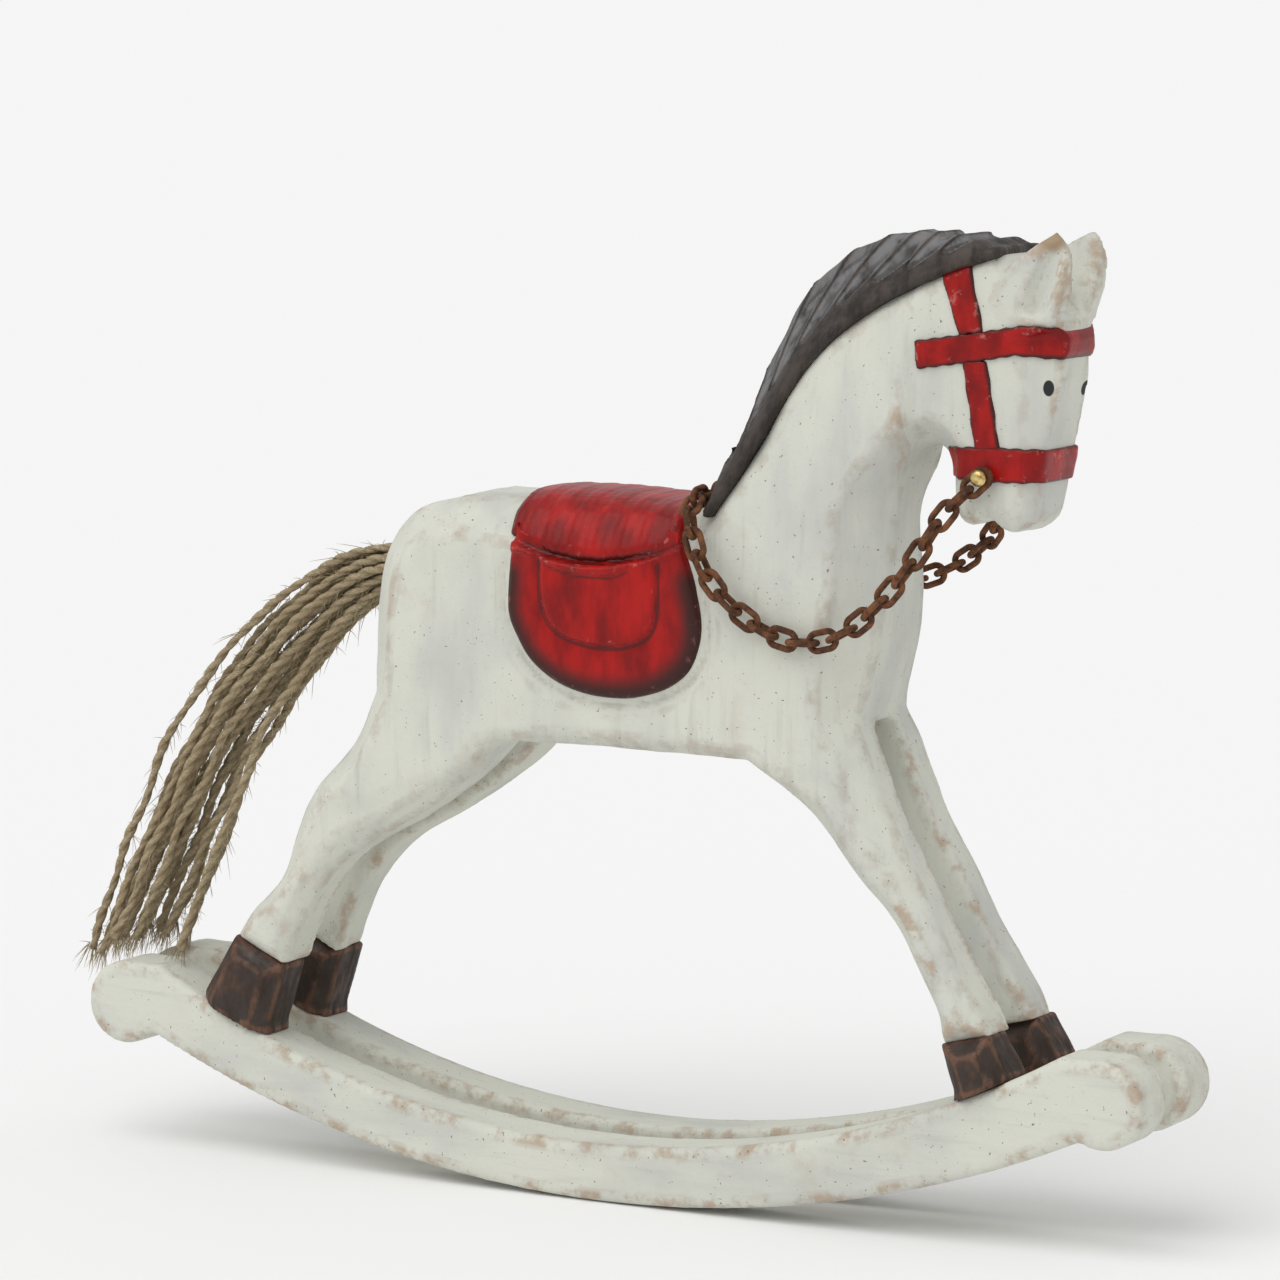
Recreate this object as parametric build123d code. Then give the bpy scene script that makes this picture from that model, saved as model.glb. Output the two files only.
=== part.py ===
from build123d import *
from math import asin, ceil, cos, degrees, pi, radians, sin, sqrt, tan
import os

# Carved wooden rocking horse: one carved block with its saddle, bridle, mane and hooves, two curved
# rails, a wire-link chain as reins and a tail of twine strands.
# X points the way the horse faces, Y from its right (near) side to its left (far) side, Z is up.
# The origin is on the floor, under the middle of the rails. Millimetres.

# ---------------------------------------------------------------- driving dimensions
RAIL_HALF_LENGTH = 118.0      # from the middle to the round end
RAIL_THICKNESS = 12.5
RAIL_GAP = 8.0                # between the two rails
RAIL_BOTTOM_RADIUS = 245.0    # the arc the toy rocks on
RAIL_LOW_X = 3.0              # its lowest point, a little forward to carry the head
RAIL_TOP_RADIUS = 205.0
RAIL_DEPTH = 11.5             # height of a rail at its middle
RAIL_LOBE_RADIUS = 8.5
RAIL_LOBE_HEIGHT = 29.5       # height of the lobe's centre

BLOCK_WIDTH = 35.0            # thickness of the carved block
LEG_GAP = 9.0                 # between the near and the far legs
NECK_TAPER = 0.16             # how fast the neck's sides close in above the shoulder line
HEAD_TOP_HALF_WIDTH = 10.0
MUZZLE_HALF_WIDTH = 8.5
FACE_HALF_WIDTH = 5.6         # flat of the face between its two chamfers
CHEST_FLAT_HALF_WIDTH = 9.0
RUMP_FLAT_HALF_WIDTH = 11.5

SEAT_LIFT = 3.2               # the seat's crown over the back
SEAT_PROUD = 2.0              # the seat's sides over the flanks
FLAP_THICKNESS = 1.7
FLAP_PANEL_THICKNESS = 0.7
STRAP_THICKNESS = 0.9
MANE_PROUD = 1.2
MANE_CREST_HALF_WIDTH = 5.0
HOOF_PROUD = 0.6

DOWEL_DIAMETER = 3.5
DOWEL_IN_RAIL = 7.0
DOWEL_IN_LEG = 6.0

NAIL_SHANK_DIAMETER = 1.3
NAIL_HEAD_DIAMETER = 3.2
NAIL_HEAD_HEIGHT = 1.3
NAIL_EXPOSED = 3.2            # bare shank between the strap and the head, where the link hangs
NAIL_BITE = 6.0               # how deep the shank goes into the muzzle

LINK_WIRE = 1.25
LINK_LENGTH = 7.0
LINK_WIDTH = 4.6
LINK_PLAY = 0.12              # free play between two links pulled straight

STRAND_DIAMETER = 1.8
STRAND_SPACING = 2.1          # from strand to strand in the hole
TAIL_HOLE_DEPTH = 9.0
TAIL_PEG_DIAMETER = 2.0
HOLE_CLEARANCE = 0.1

SEAT_GAP = 0.25               # between the chain and the wood it lies on

# ---------------------------------------------------------------- worked-out sizes
HALF_BLOCK = BLOCK_WIDTH / 2
HALF_LEG_GAP = LEG_GAP / 2
HALF_RAIL_GAP = RAIL_GAP / 2
RAIL_OUTSIDE = HALF_RAIL_GAP + RAIL_THICKNESS
LOBE_X = RAIL_HALF_LENGTH - RAIL_LOBE_RADIUS
RAIL_END_HEIGHT = RAIL_LOBE_HEIGHT + RAIL_LOBE_RADIUS
BACK_HEIGHT = 136.8
HEAD_REAR_X = 66.0            # plane where the neck's width gives way to the head's
FAR_OUT = 60.0                # more than any half width, for cutting tools

os.makedirs("parts", exist_ok=True)


def side_face(points):
    """A closed outline in the XZ plane from straight runs through the points."""
    wire = Polyline(*[(x, 0, z) for x, z in points], close=True)
    return make_face(wire)


def slab(face, y_from, y_to):
    """The face drawn at Y = 0 turned into a plate from y_from to y_to."""
    plate = extrude(face, amount=y_to - y_from, dir=(0, 1, 0))
    return plate.moved(Location((0, y_from, 0)))


def front_prism(points, x_from, x_to):
    """A closed outline in the YZ plane carried along X."""
    wire = Polyline(*[(x_from, y, z) for y, z in points], close=True)
    return extrude(make_face(wire), amount=x_to - x_from, dir=(1, 0, 0))


def mirrored(shape):
    """The same piece on the other side of the horse."""
    return mirror(shape, about=Plane.XZ)


def smooth(points):
    """A curve through points of the XZ plane."""
    return Spline(*[(x, 0, z) for x, z in points])


def straight(points):
    """Straight runs through points of the XZ plane."""
    return Polyline(*[(x, 0, z) for x, z in points])


def save(name, shape):
    """Write one sub-part, as loose solids where it has several."""
    solids = shape.solids()
    piece = solids[0] if len(solids) == 1 else Compound(children=list(solids))
    piece.label = name
    export_step(piece, f"parts/{name}.step")


# ---------------------------------------------------------------- rails
def rail_top(x):
    """Height of the rail's upper edge."""
    return RAIL_DEPTH + RAIL_TOP_RADIUS - sqrt(RAIL_TOP_RADIUS**2 - x**2)


def disc(x, z, radius):
    """A round face in the XZ plane."""
    return make_face(Plane.XZ * Location((x, z, 0)) * CenterArc((0, 0), radius, 0, 360))


def rail(y_from, y_to):
    """Crescent between two arcs, cut square at the lobe's height, with a round lobe at each end."""
    outer = slab(disc(RAIL_LOW_X, RAIL_BOTTOM_RADIUS, RAIL_BOTTOM_RADIUS), y_from, y_to)
    inner = slab(disc(0, RAIL_DEPTH + RAIL_TOP_RADIUS, RAIL_TOP_RADIUS), y_from, y_to)
    reach = side_face([(-LOBE_X, -1), (LOBE_X, -1), (LOBE_X, RAIL_END_HEIGHT), (-LOBE_X, RAIL_END_HEIGHT)])
    body = outer & slab(reach, y_from, y_to)
    body = body - inner
    for side in (-1, 1):
        body = body + slab(disc(side * LOBE_X, RAIL_LOBE_HEIGHT, RAIL_LOBE_RADIUS), y_from, y_to)
    return body


# ---------------------------------------------------------------- the carved block
# Outline points (x, z), each list one edge of the side view.
WITHERS = (27, BACK_HEIGHT)
CREST = [WITHERS, (31, 142.5), (38, 154.6), (44, 164.2), (50.5, 171.4), (60, 178.2), (73, 183.8), (83, 187)]
MANE_MIDDLE = [WITHERS, (29.6, 146), (35, 160.6), (40.6, 171), (48.6, 179), (58, 184), (72, 187.2), (83, 187)]
MANE_TOP = [WITHERS, (29, 150), (34.6, 167), (40, 177), (48, 184.6), (57, 189), (66, 190.4), (76, 190.2), (83, 187)]
POLL = [(83, 187), (87.5, 183.5), (92, 178), (96, 174)]
FACE = [(96, 174), (95.6, 164), (92.4, 150), (91.2, 141)]
NOSE = [(91.2, 141), (90, 137.2), (86.4, 134.8), (83, 135.6), (80.4, 137.4)]
CHIN = [(80.4, 137.4), (77.2, 135.8), (74.8, 137.6), (73.8, 142)]
THROAT = [(73.8, 142), (72.6, 147.5), (69.2, 150.6), (65.4, 149.2), (62.8, 144)]
CHEST = [(62.8, 144), (61, 136), (60.6, 126), (59, 112), (55.6, 98)]
FRONT_LEG_FRONT = [(55.6, 98), (62, 82), (70.8, 66), (78.4, 52), (83, 45), (85.2, 40.4)]
FRONT_LEG_REAR = [(76.4, 38.2), (74, 46), (66, 59), (57, 69), (45, 82.4), (34.6, 89.4)]
BELLY = [(34.6, 89.4), (2, 90), (-20.5, 89.6)]
REAR_LEG_FRONT = [(-20.5, 89.6), (-31, 79.6), (-43, 71.6), (-55.4, 64.6), (-64, 55.6), (-69, 47), (-71.2, 40.6)]
REAR_LEG_REAR = [(-82.2, 45.4), (-78.4, 51.2), (-72, 58.6), (-69, 67), (-64.6, 76), (-55, 87), (-50, 97)]
RUMP = [(-50, 97), (-51, 107), (-50.2, 118), (-47.6, 126.6), (-41.6, 133.4), (-31, BACK_HEIGHT)]
SHOULDER_LINE = [(24, 141), (62, 112)]      # the neck's taper starts along this line of the side view


def horse_outline():
    edges = [
        straight([RUMP[-1], WITHERS]), smooth(CREST), smooth(POLL), straight(FACE),
        smooth(NOSE), smooth(CHIN), smooth(THROAT), smooth(CHEST), smooth(FRONT_LEG_FRONT),
        straight([FRONT_LEG_FRONT[-1], FRONT_LEG_REAR[0]]), smooth(FRONT_LEG_REAR), straight(BELLY),
        smooth(REAR_LEG_FRONT), straight([REAR_LEG_FRONT[-1], REAR_LEG_REAR[0]]), smooth(REAR_LEG_REAR),
        smooth(RUMP),
    ]
    return make_face(edges)


def block_limits(proud):
    """The sawn plank's straight flanks, with one slanted cut each side that narrows the neck."""
    (x0, z0), (x1, z1) = SHOULDER_LINE
    length = sqrt((x1 - x0) ** 2 + (z1 - z0) ** 2)
    up_neck = ((z0 - z1) / length, (x1 - x0) / length)
    wide = HALF_BLOCK + proud
    limits = Box(400, 2 * wide, 400)
    for side in (-1, 1):
        slope = Vector(NECK_TAPER * up_neck[0], side, NECK_TAPER * up_neck[1])
        cut = Plane(origin=(x0, side * wide, z0), z_dir=slope)
        limits = limits - cut * Box(400, 400, FAR_OUT, align=(Align.CENTER, Align.CENTER, Align.MIN))
    return limits


def head_half_width(z):
    """Half width of the head, widening from the muzzle up to the ears."""
    return MUZZLE_HALF_WIDTH + (HEAD_TOP_HALF_WIDTH - MUZZLE_HALF_WIDTH) * (z - 135) / 50


def head_envelope(proud):
    """Front view of the head, in front of the plane where the neck ends."""
    half = [(head_half_width(125) + proud, 125), (head_half_width(200) + proud, 200)]
    return front_prism(half + [(-y, z) for y, z in reversed(half)], HEAD_REAR_X, 150)


def behind_head():
    """Everything behind the plane where the neck ends, and everything under the jaw."""
    rear = Box(300, 2 * FAR_OUT, 400).moved(Location((HEAD_REAR_X - 150, 0, 100)))
    low = Box(300, 2 * FAR_OUT, 200).moved(Location((150, 0, 25)))
    return rear + low


def ear_plate(y_inner, y_outer):
    """One ear, a leaf standing on the poll."""
    outline = [smooth([(85, 181.5), (90.6, 186.8), (96, 191)]), smooth([(96, 191), (96.8, 183.6), (94, 174)]),
               straight([(94, 174), (85, 181.5)])]
    return slab(make_face(outline), y_inner, y_outer)


def corner_prism(plan, z_from, z_to):
    """A vertical cutter with a plan outline in the XY plane."""
    wire = Polyline(*[(x, y, z_from) for x, y in plan], close=True)
    return extrude(make_face(wire), amount=z_to - z_from, dir=(0, 0, 1))


def carved_block():
    outline = horse_outline()
    block = slab(outline, -HALF_BLOCK, HALF_BLOCK)
    block = block & block_limits(0)
    # the head is carved narrower than the neck
    block = block & (behind_head() + head_envelope(0))
    # ears
    for side in (-1, 1):
        inner, outer = 4.6, HEAD_TOP_HALF_WIDTH
        block = block + ear_plate(min(side * inner, side * outer), max(side * inner, side * outer))
    # gaps between the legs
    front_gap = side_face([(36, 30), (36, 84), (50, 96.5), (66, 96.5), (95, 60), (95, 30)])
    rear_gap = side_face([(-95, 30), (-95, 60), (-66, 70), (-50, 82), (-24, 89), (-10, 95), (-10, 30)])
    block = block - slab(front_gap, -HALF_LEG_GAP, HALF_LEG_GAP)
    block = block - slab(rear_gap, -HALF_LEG_GAP, HALF_LEG_GAP)
    # knife-cut corners of the chest, the rump, the back and the face
    chest = [(50, HALF_BLOCK + 0.5), (61, CHEST_FLAT_HALF_WIDTH), (66, HALF_BLOCK + 2)]
    rump = [(-41, HALF_BLOCK + 0.5), (-51, RUMP_FLAT_HALF_WIDTH), (-56, HALF_BLOCK + 2)]
    face = [(86.5, HEAD_TOP_HALF_WIDTH + 0.6), (96, FACE_HALF_WIDTH), (101, HEAD_TOP_HALF_WIDTH + 2)]
    back = [(HALF_BLOCK + 0.5, BACK_HEIGHT - 6.5), (HALF_BLOCK - 6, BACK_HEIGHT + 0.5),
            (HALF_BLOCK + 2, BACK_HEIGHT + 2)]
    for side in (-1, 1):
        block = block - corner_prism([(x, side * y) for x, y in chest], 98, 146)
        block = block - corner_prism([(x, side * y) for x, y in rump], 90, 142)
        block = block - corner_prism([(x, side * y) for x, y in face], 130, 172)
        block = block - front_prism([(side * y, z) for y, z in back], RUMP[1][0] - 1, WITHERS[0] - 0.5)
    return block


# ---------------------------------------------------------------- saddle
SEAT_REAR_X, SEAT_FRONT_X = -17.5, 21.0
FLAP_BOTTOM_Z = 100.0
SEAT_EDGE = [(SEAT_FRONT_X, 129.5), (14, 127), (3, 125.4), (-8, 126.6), (SEAT_REAR_X, 130)]
FLAP_EDGE = [(-15.6, 130), (-17, 118), (-14.4, 109.5), (-8.4, 103.2), (1, FLAP_BOTTOM_Z), (11, FLAP_BOTTOM_Z),
             (19.6, 103), (24.6, 108.5), (25.6, 117), (23.4, 128)]
PANEL_EDGE = [(-8.4, 127), (-8.2, 118), (-5, 112.6), (2, 110.4), (10, 110.6), (15.2, 113.4), (16.4, 120), (16.2, 127)]


def seat(block):
    """Seat pad: a crowned bar over the back, hollowed by the block it sits on."""
    top = BACK_HEIGHT + SEAT_LIFT
    crown = smooth([(SEAT_REAR_X, top - 0.9), (-12, top), (2, top - 0.2), (SEAT_FRONT_X, top - 3)])
    edges = [crown, straight([(SEAT_FRONT_X, top - 3), SEAT_EDGE[0]]), smooth(SEAT_EDGE),
             straight([SEAT_EDGE[-1], (SEAT_REAR_X, top - 0.9)])]
    wide = HALF_BLOCK + SEAT_PROUD
    bar = slab(make_face(edges), -wide, wide)
    half = [(wide, 120), (wide, top - 8.2), (wide - 2.5, top - 3.8), (wide - 7.5, top - 0.9), (wide - 12, top + 0.1)]
    arch = front_prism(half + [(-y, z) for y, z in reversed(half)], SEAT_REAR_X - 1, SEAT_FRONT_X + 1)
    return (bar & arch) - block


def flap(seat_pad):
    """Near flap: a plate on the flank with a raised panel, tucked under the seat's edge."""
    plate = make_face([smooth(FLAP_EDGE), straight([FLAP_EDGE[-1], FLAP_EDGE[0]])])
    panel = make_face([smooth(PANEL_EDGE), straight([PANEL_EDGE[-1], PANEL_EDGE[0]])])
    outside = -HALF_BLOCK - FLAP_THICKNESS
    whole = slab(plate, outside, -HALF_BLOCK) + slab(panel, outside - FLAP_PANEL_THICKNESS, outside)
    return whole - seat_pad


# ---------------------------------------------------------------- bridle
BROWBAND_SIDE = [(66.8, 170.2), (80, 172.2), (90, 174.8), (96.2, 174.6), (98, 172.4), (97.8, 168.8), (95.6, 167.2),
                 (88, 168), (80, 166.6), (67.4, 164.8)]
NOSEBAND_SIDE = [(72.2, 150.4), (93.6, 150.6), (92.6, 144.2), (72.8, 144.6)]
UPPER_STRAP = [(72.4, 183.2), (78.6, 185.2), (81.4, 172), (76.2, 171.4)]
LOWER_STRAP = [(76.8, 167), (82, 167), (84.4, 150), (79.2, 150)]
BIT_X, BIT_Z = 82.0, 145.2    # where the rein nails go in


def strap_shell(block, outline):
    """A strip of the side view, as thick as a strap, lying on the head."""
    return (slab(side_face(outline), -FAR_OUT, FAR_OUT) & head_envelope(STRAP_THICKNESS)) - block


def near_half(shape):
    """The part of a shape on the near side of the middle plane."""
    return shape & Box(400, FAR_OUT, 400).moved(Location((0, -FAR_OUT / 2, 100)))


# ---------------------------------------------------------------- hooves and their dowels
REAR_HOOF_FOOT = [(-74.8, 28), (-74.8, 20), (-90, 20), (-90, 33.6)]     # below the ankle, front to back
FRONT_HOOF_FOOT = [(90.2, 33), (90.2, 20), (78.6, 20), (78.6, 29.6)]
HOOF_LIP = 0.5                # how far the hoof's upper rim stands out before and behind the leg
REAR_DOWEL_X, FRONT_DOWEL_X = -82.4, 84.2
HOOF_HEIGHT_ALONG_DOWEL = 13.5


def hoof(ankle_rear, ankle_front, foot):
    """Near hoof: a block a little proud of the leg it ends, its sole cut to the curve of the rails."""
    run, rise = ankle_front[0] - ankle_rear[0], ankle_front[1] - ankle_rear[1]
    share = HOOF_LIP / sqrt(run**2 + rise**2)
    rear = (ankle_rear[0] - run * share, ankle_rear[1] - rise * share)
    front = (ankle_front[0] + run * share, ankle_front[1] + rise * share)
    outside, inside = -HALF_BLOCK - HOOF_PROUD, -HALF_LEG_GAP + HOOF_PROUD / 2
    above_rails = disc(0, RAIL_DEPTH + RAIL_TOP_RADIUS, RAIL_TOP_RADIUS)
    return slab(side_face([rear, front] + foot), outside, inside) & slab(above_rails, outside, inside)


def dowel(x):
    """A peg square to the rail's upper edge, from inside the rail through the hoof into the leg."""
    slope = asin(x / RAIL_TOP_RADIUS)
    length = DOWEL_IN_RAIL + HOOF_HEIGHT_ALONG_DOWEL + DOWEL_IN_LEG
    middle = length / 2 - DOWEL_IN_RAIL
    y = -(HALF_RAIL_GAP + RAIL_OUTSIDE) / 2
    centre = (x - middle * sin(slope), y, rail_top(x) + middle * cos(slope))
    return Location(centre, (0, -degrees(slope), 0)) * Cylinder(DOWEL_DIAMETER / 2, length)


# ---------------------------------------------------------------- rein nails
STRAP_FACE_Y = -(head_half_width(BIT_Z) + STRAP_THICKNESS)


def nail():
    """Near rein nail: a shank driven into the muzzle with a domed head."""
    length = NAIL_BITE + STRAP_THICKNESS + NAIL_EXPOSED
    shank = Cylinder(NAIL_SHANK_DIAMETER / 2, length)
    shank = Location((BIT_X, STRAP_FACE_Y - NAIL_EXPOSED + length / 2, BIT_Z), (90, 0, 0)) * shank
    radius = NAIL_HEAD_DIAMETER / 2
    dome_radius = (radius**2 + NAIL_HEAD_HEIGHT**2) / (2 * NAIL_HEAD_HEIGHT)
    base_y = STRAP_FACE_Y - NAIL_EXPOSED
    ball = Sphere(dome_radius).moved(Location((BIT_X, base_y + dome_radius - NAIL_HEAD_HEIGHT, BIT_Z)))
    keep = Box(20, NAIL_HEAD_HEIGHT + 1, 20).moved(Location((BIT_X, base_y - (NAIL_HEAD_HEIGHT + 1) / 2, BIT_Z)))
    return shank + (ball & keep)


# ---------------------------------------------------------------- chain reins
CHAIN_SIDE_Y = HALF_BLOCK + LINK_WIDTH / 2 + SEAT_GAP
CHAIN_FLAP_Y = CHAIN_SIDE_Y + FLAP_THICKNESS
CHAIN_OVER_Z = BACK_HEIGHT + LINK_WIDTH / 2 + SEAT_GAP
LINK_PITCH = LINK_LENGTH - 2 * LINK_WIRE - LINK_PLAY
SHANK_REACH = LINK_LENGTH / 2 - LINK_WIRE - NAIL_SHANK_DIAMETER / 2 - LINK_PLAY


def chain_path():
    """Centre line of the reins, from the near nail over the withers to the far nail."""
    nail_y = -STRAP_FACE_Y + NAIL_EXPOSED / 2
    corner = (24, HALF_BLOCK + 1.2, BACK_HEIGHT + 0.9)
    near = [(BIT_X, nail_y, BIT_Z), (79.2, nail_y + 1.1, 142.4), (75.6, nail_y + 2.7, 138.4),
            (72.2, nail_y + 5.1, 132.2), (68, CHAIN_SIDE_Y - 0.6, 125), (62, CHAIN_SIDE_Y, 118.6),
            (54.4, CHAIN_SIDE_Y, 114), (45.4, CHAIN_SIDE_Y, 113.4), (36.6, CHAIN_SIDE_Y + 0.4, 117.4),
            (29.8, CHAIN_FLAP_Y, 124.2), (26, CHAIN_FLAP_Y - 0.6, 131.6), corner]
    far = [(BIT_X, nail_y, BIT_Z), (79, nail_y + 1.1, 142.2), (75.4, nail_y + 2.9, 137.8),
           (71, nail_y + 5.6, 132), (65, CHAIN_SIDE_Y - 0.4, 127), (57.4, CHAIN_SIDE_Y, 123),
           (49, CHAIN_SIDE_Y, 120.8), (40.6, CHAIN_SIDE_Y, 121.2), (33.4, CHAIN_SIDE_Y + 0.4, 124),
           (28, CHAIN_FLAP_Y - 0.4, 129), corner]
    over = [(23.4, -12, CHAIN_OVER_Z), (23.2, 0, CHAIN_OVER_Z), (23.4, 12, CHAIN_OVER_Z)]
    return Spline(*[(x, -y, z) for x, y, z in near], *over, *reversed(far))


def link_solid():
    """One oval link lying in the XY plane, long side along X."""
    bend = (LINK_WIDTH - LINK_WIRE) / 2
    half_run = LINK_LENGTH / 2 - LINK_WIRE / 2 - bend
    loop = Line((-half_run, -bend, 0), (half_run, -bend, 0)) + CenterArc((half_run, 0, 0), bend, -90, 180)
    loop += Line((half_run, bend, 0), (-half_run, bend, 0)) + CenterArc((-half_run, 0, 0), bend, 90, 180)
    section = Plane(origin=(0, -bend, 0), z_dir=(1, 0, 0)) * Circle(LINK_WIRE / 2)
    path = Wire(loop.edges())
    return sweep(section, path=path)


def outward(point):
    """Direction away from the horse at a point of the reins."""
    over_back = point.X < WITHERS[0] + 4
    rise = max(0.0, point.Z - BACK_HEIGHT + 6) / 8 if over_back else 0.0
    return Vector(0, point.Y / CHAIN_SIDE_Y, rise).normalized()


def chain_links():
    """All links in order, every second one turned a quarter about the chain."""
    path = chain_path()
    start_slack = LINK_PITCH / 2 - SHANK_REACH
    run = path.length + 2 * start_slack
    count = ceil(run / LINK_PITCH)
    if count % 2 == 0:
        count += 1
    pitch = run / count
    link = link_solid()
    links = []
    for number in range(count):
        ends = []
        for joint in (number, number + 1):
            along = joint * pitch - start_slack
            inside = min(max(along, 0.0), path.length)
            point = path.position_at(inside / path.length)
            ends.append(point + path.tangent_at(inside / path.length) * (along - inside))
        heading = (ends[1] - ends[0]).normalized()
        middle = (ends[0] + ends[1]) * 0.5
        away = outward(middle)
        away = (away - heading * away.dot(heading)).normalized()
        normal = away if number % 2 == 0 else heading.cross(away)
        links.append(Plane(origin=middle, x_dir=heading, z_dir=normal).location * link)
    print(f"chain: {count} links, pitch {pitch:.3f}, straight pitch {LINK_PITCH:.3f}, run {run:.1f}")
    return links


# ---------------------------------------------------------------- tail
TAIL_Z = 121.5
TAIL_ROOT_X = -43.5           # inner ends of the strands, inside the rump
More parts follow.
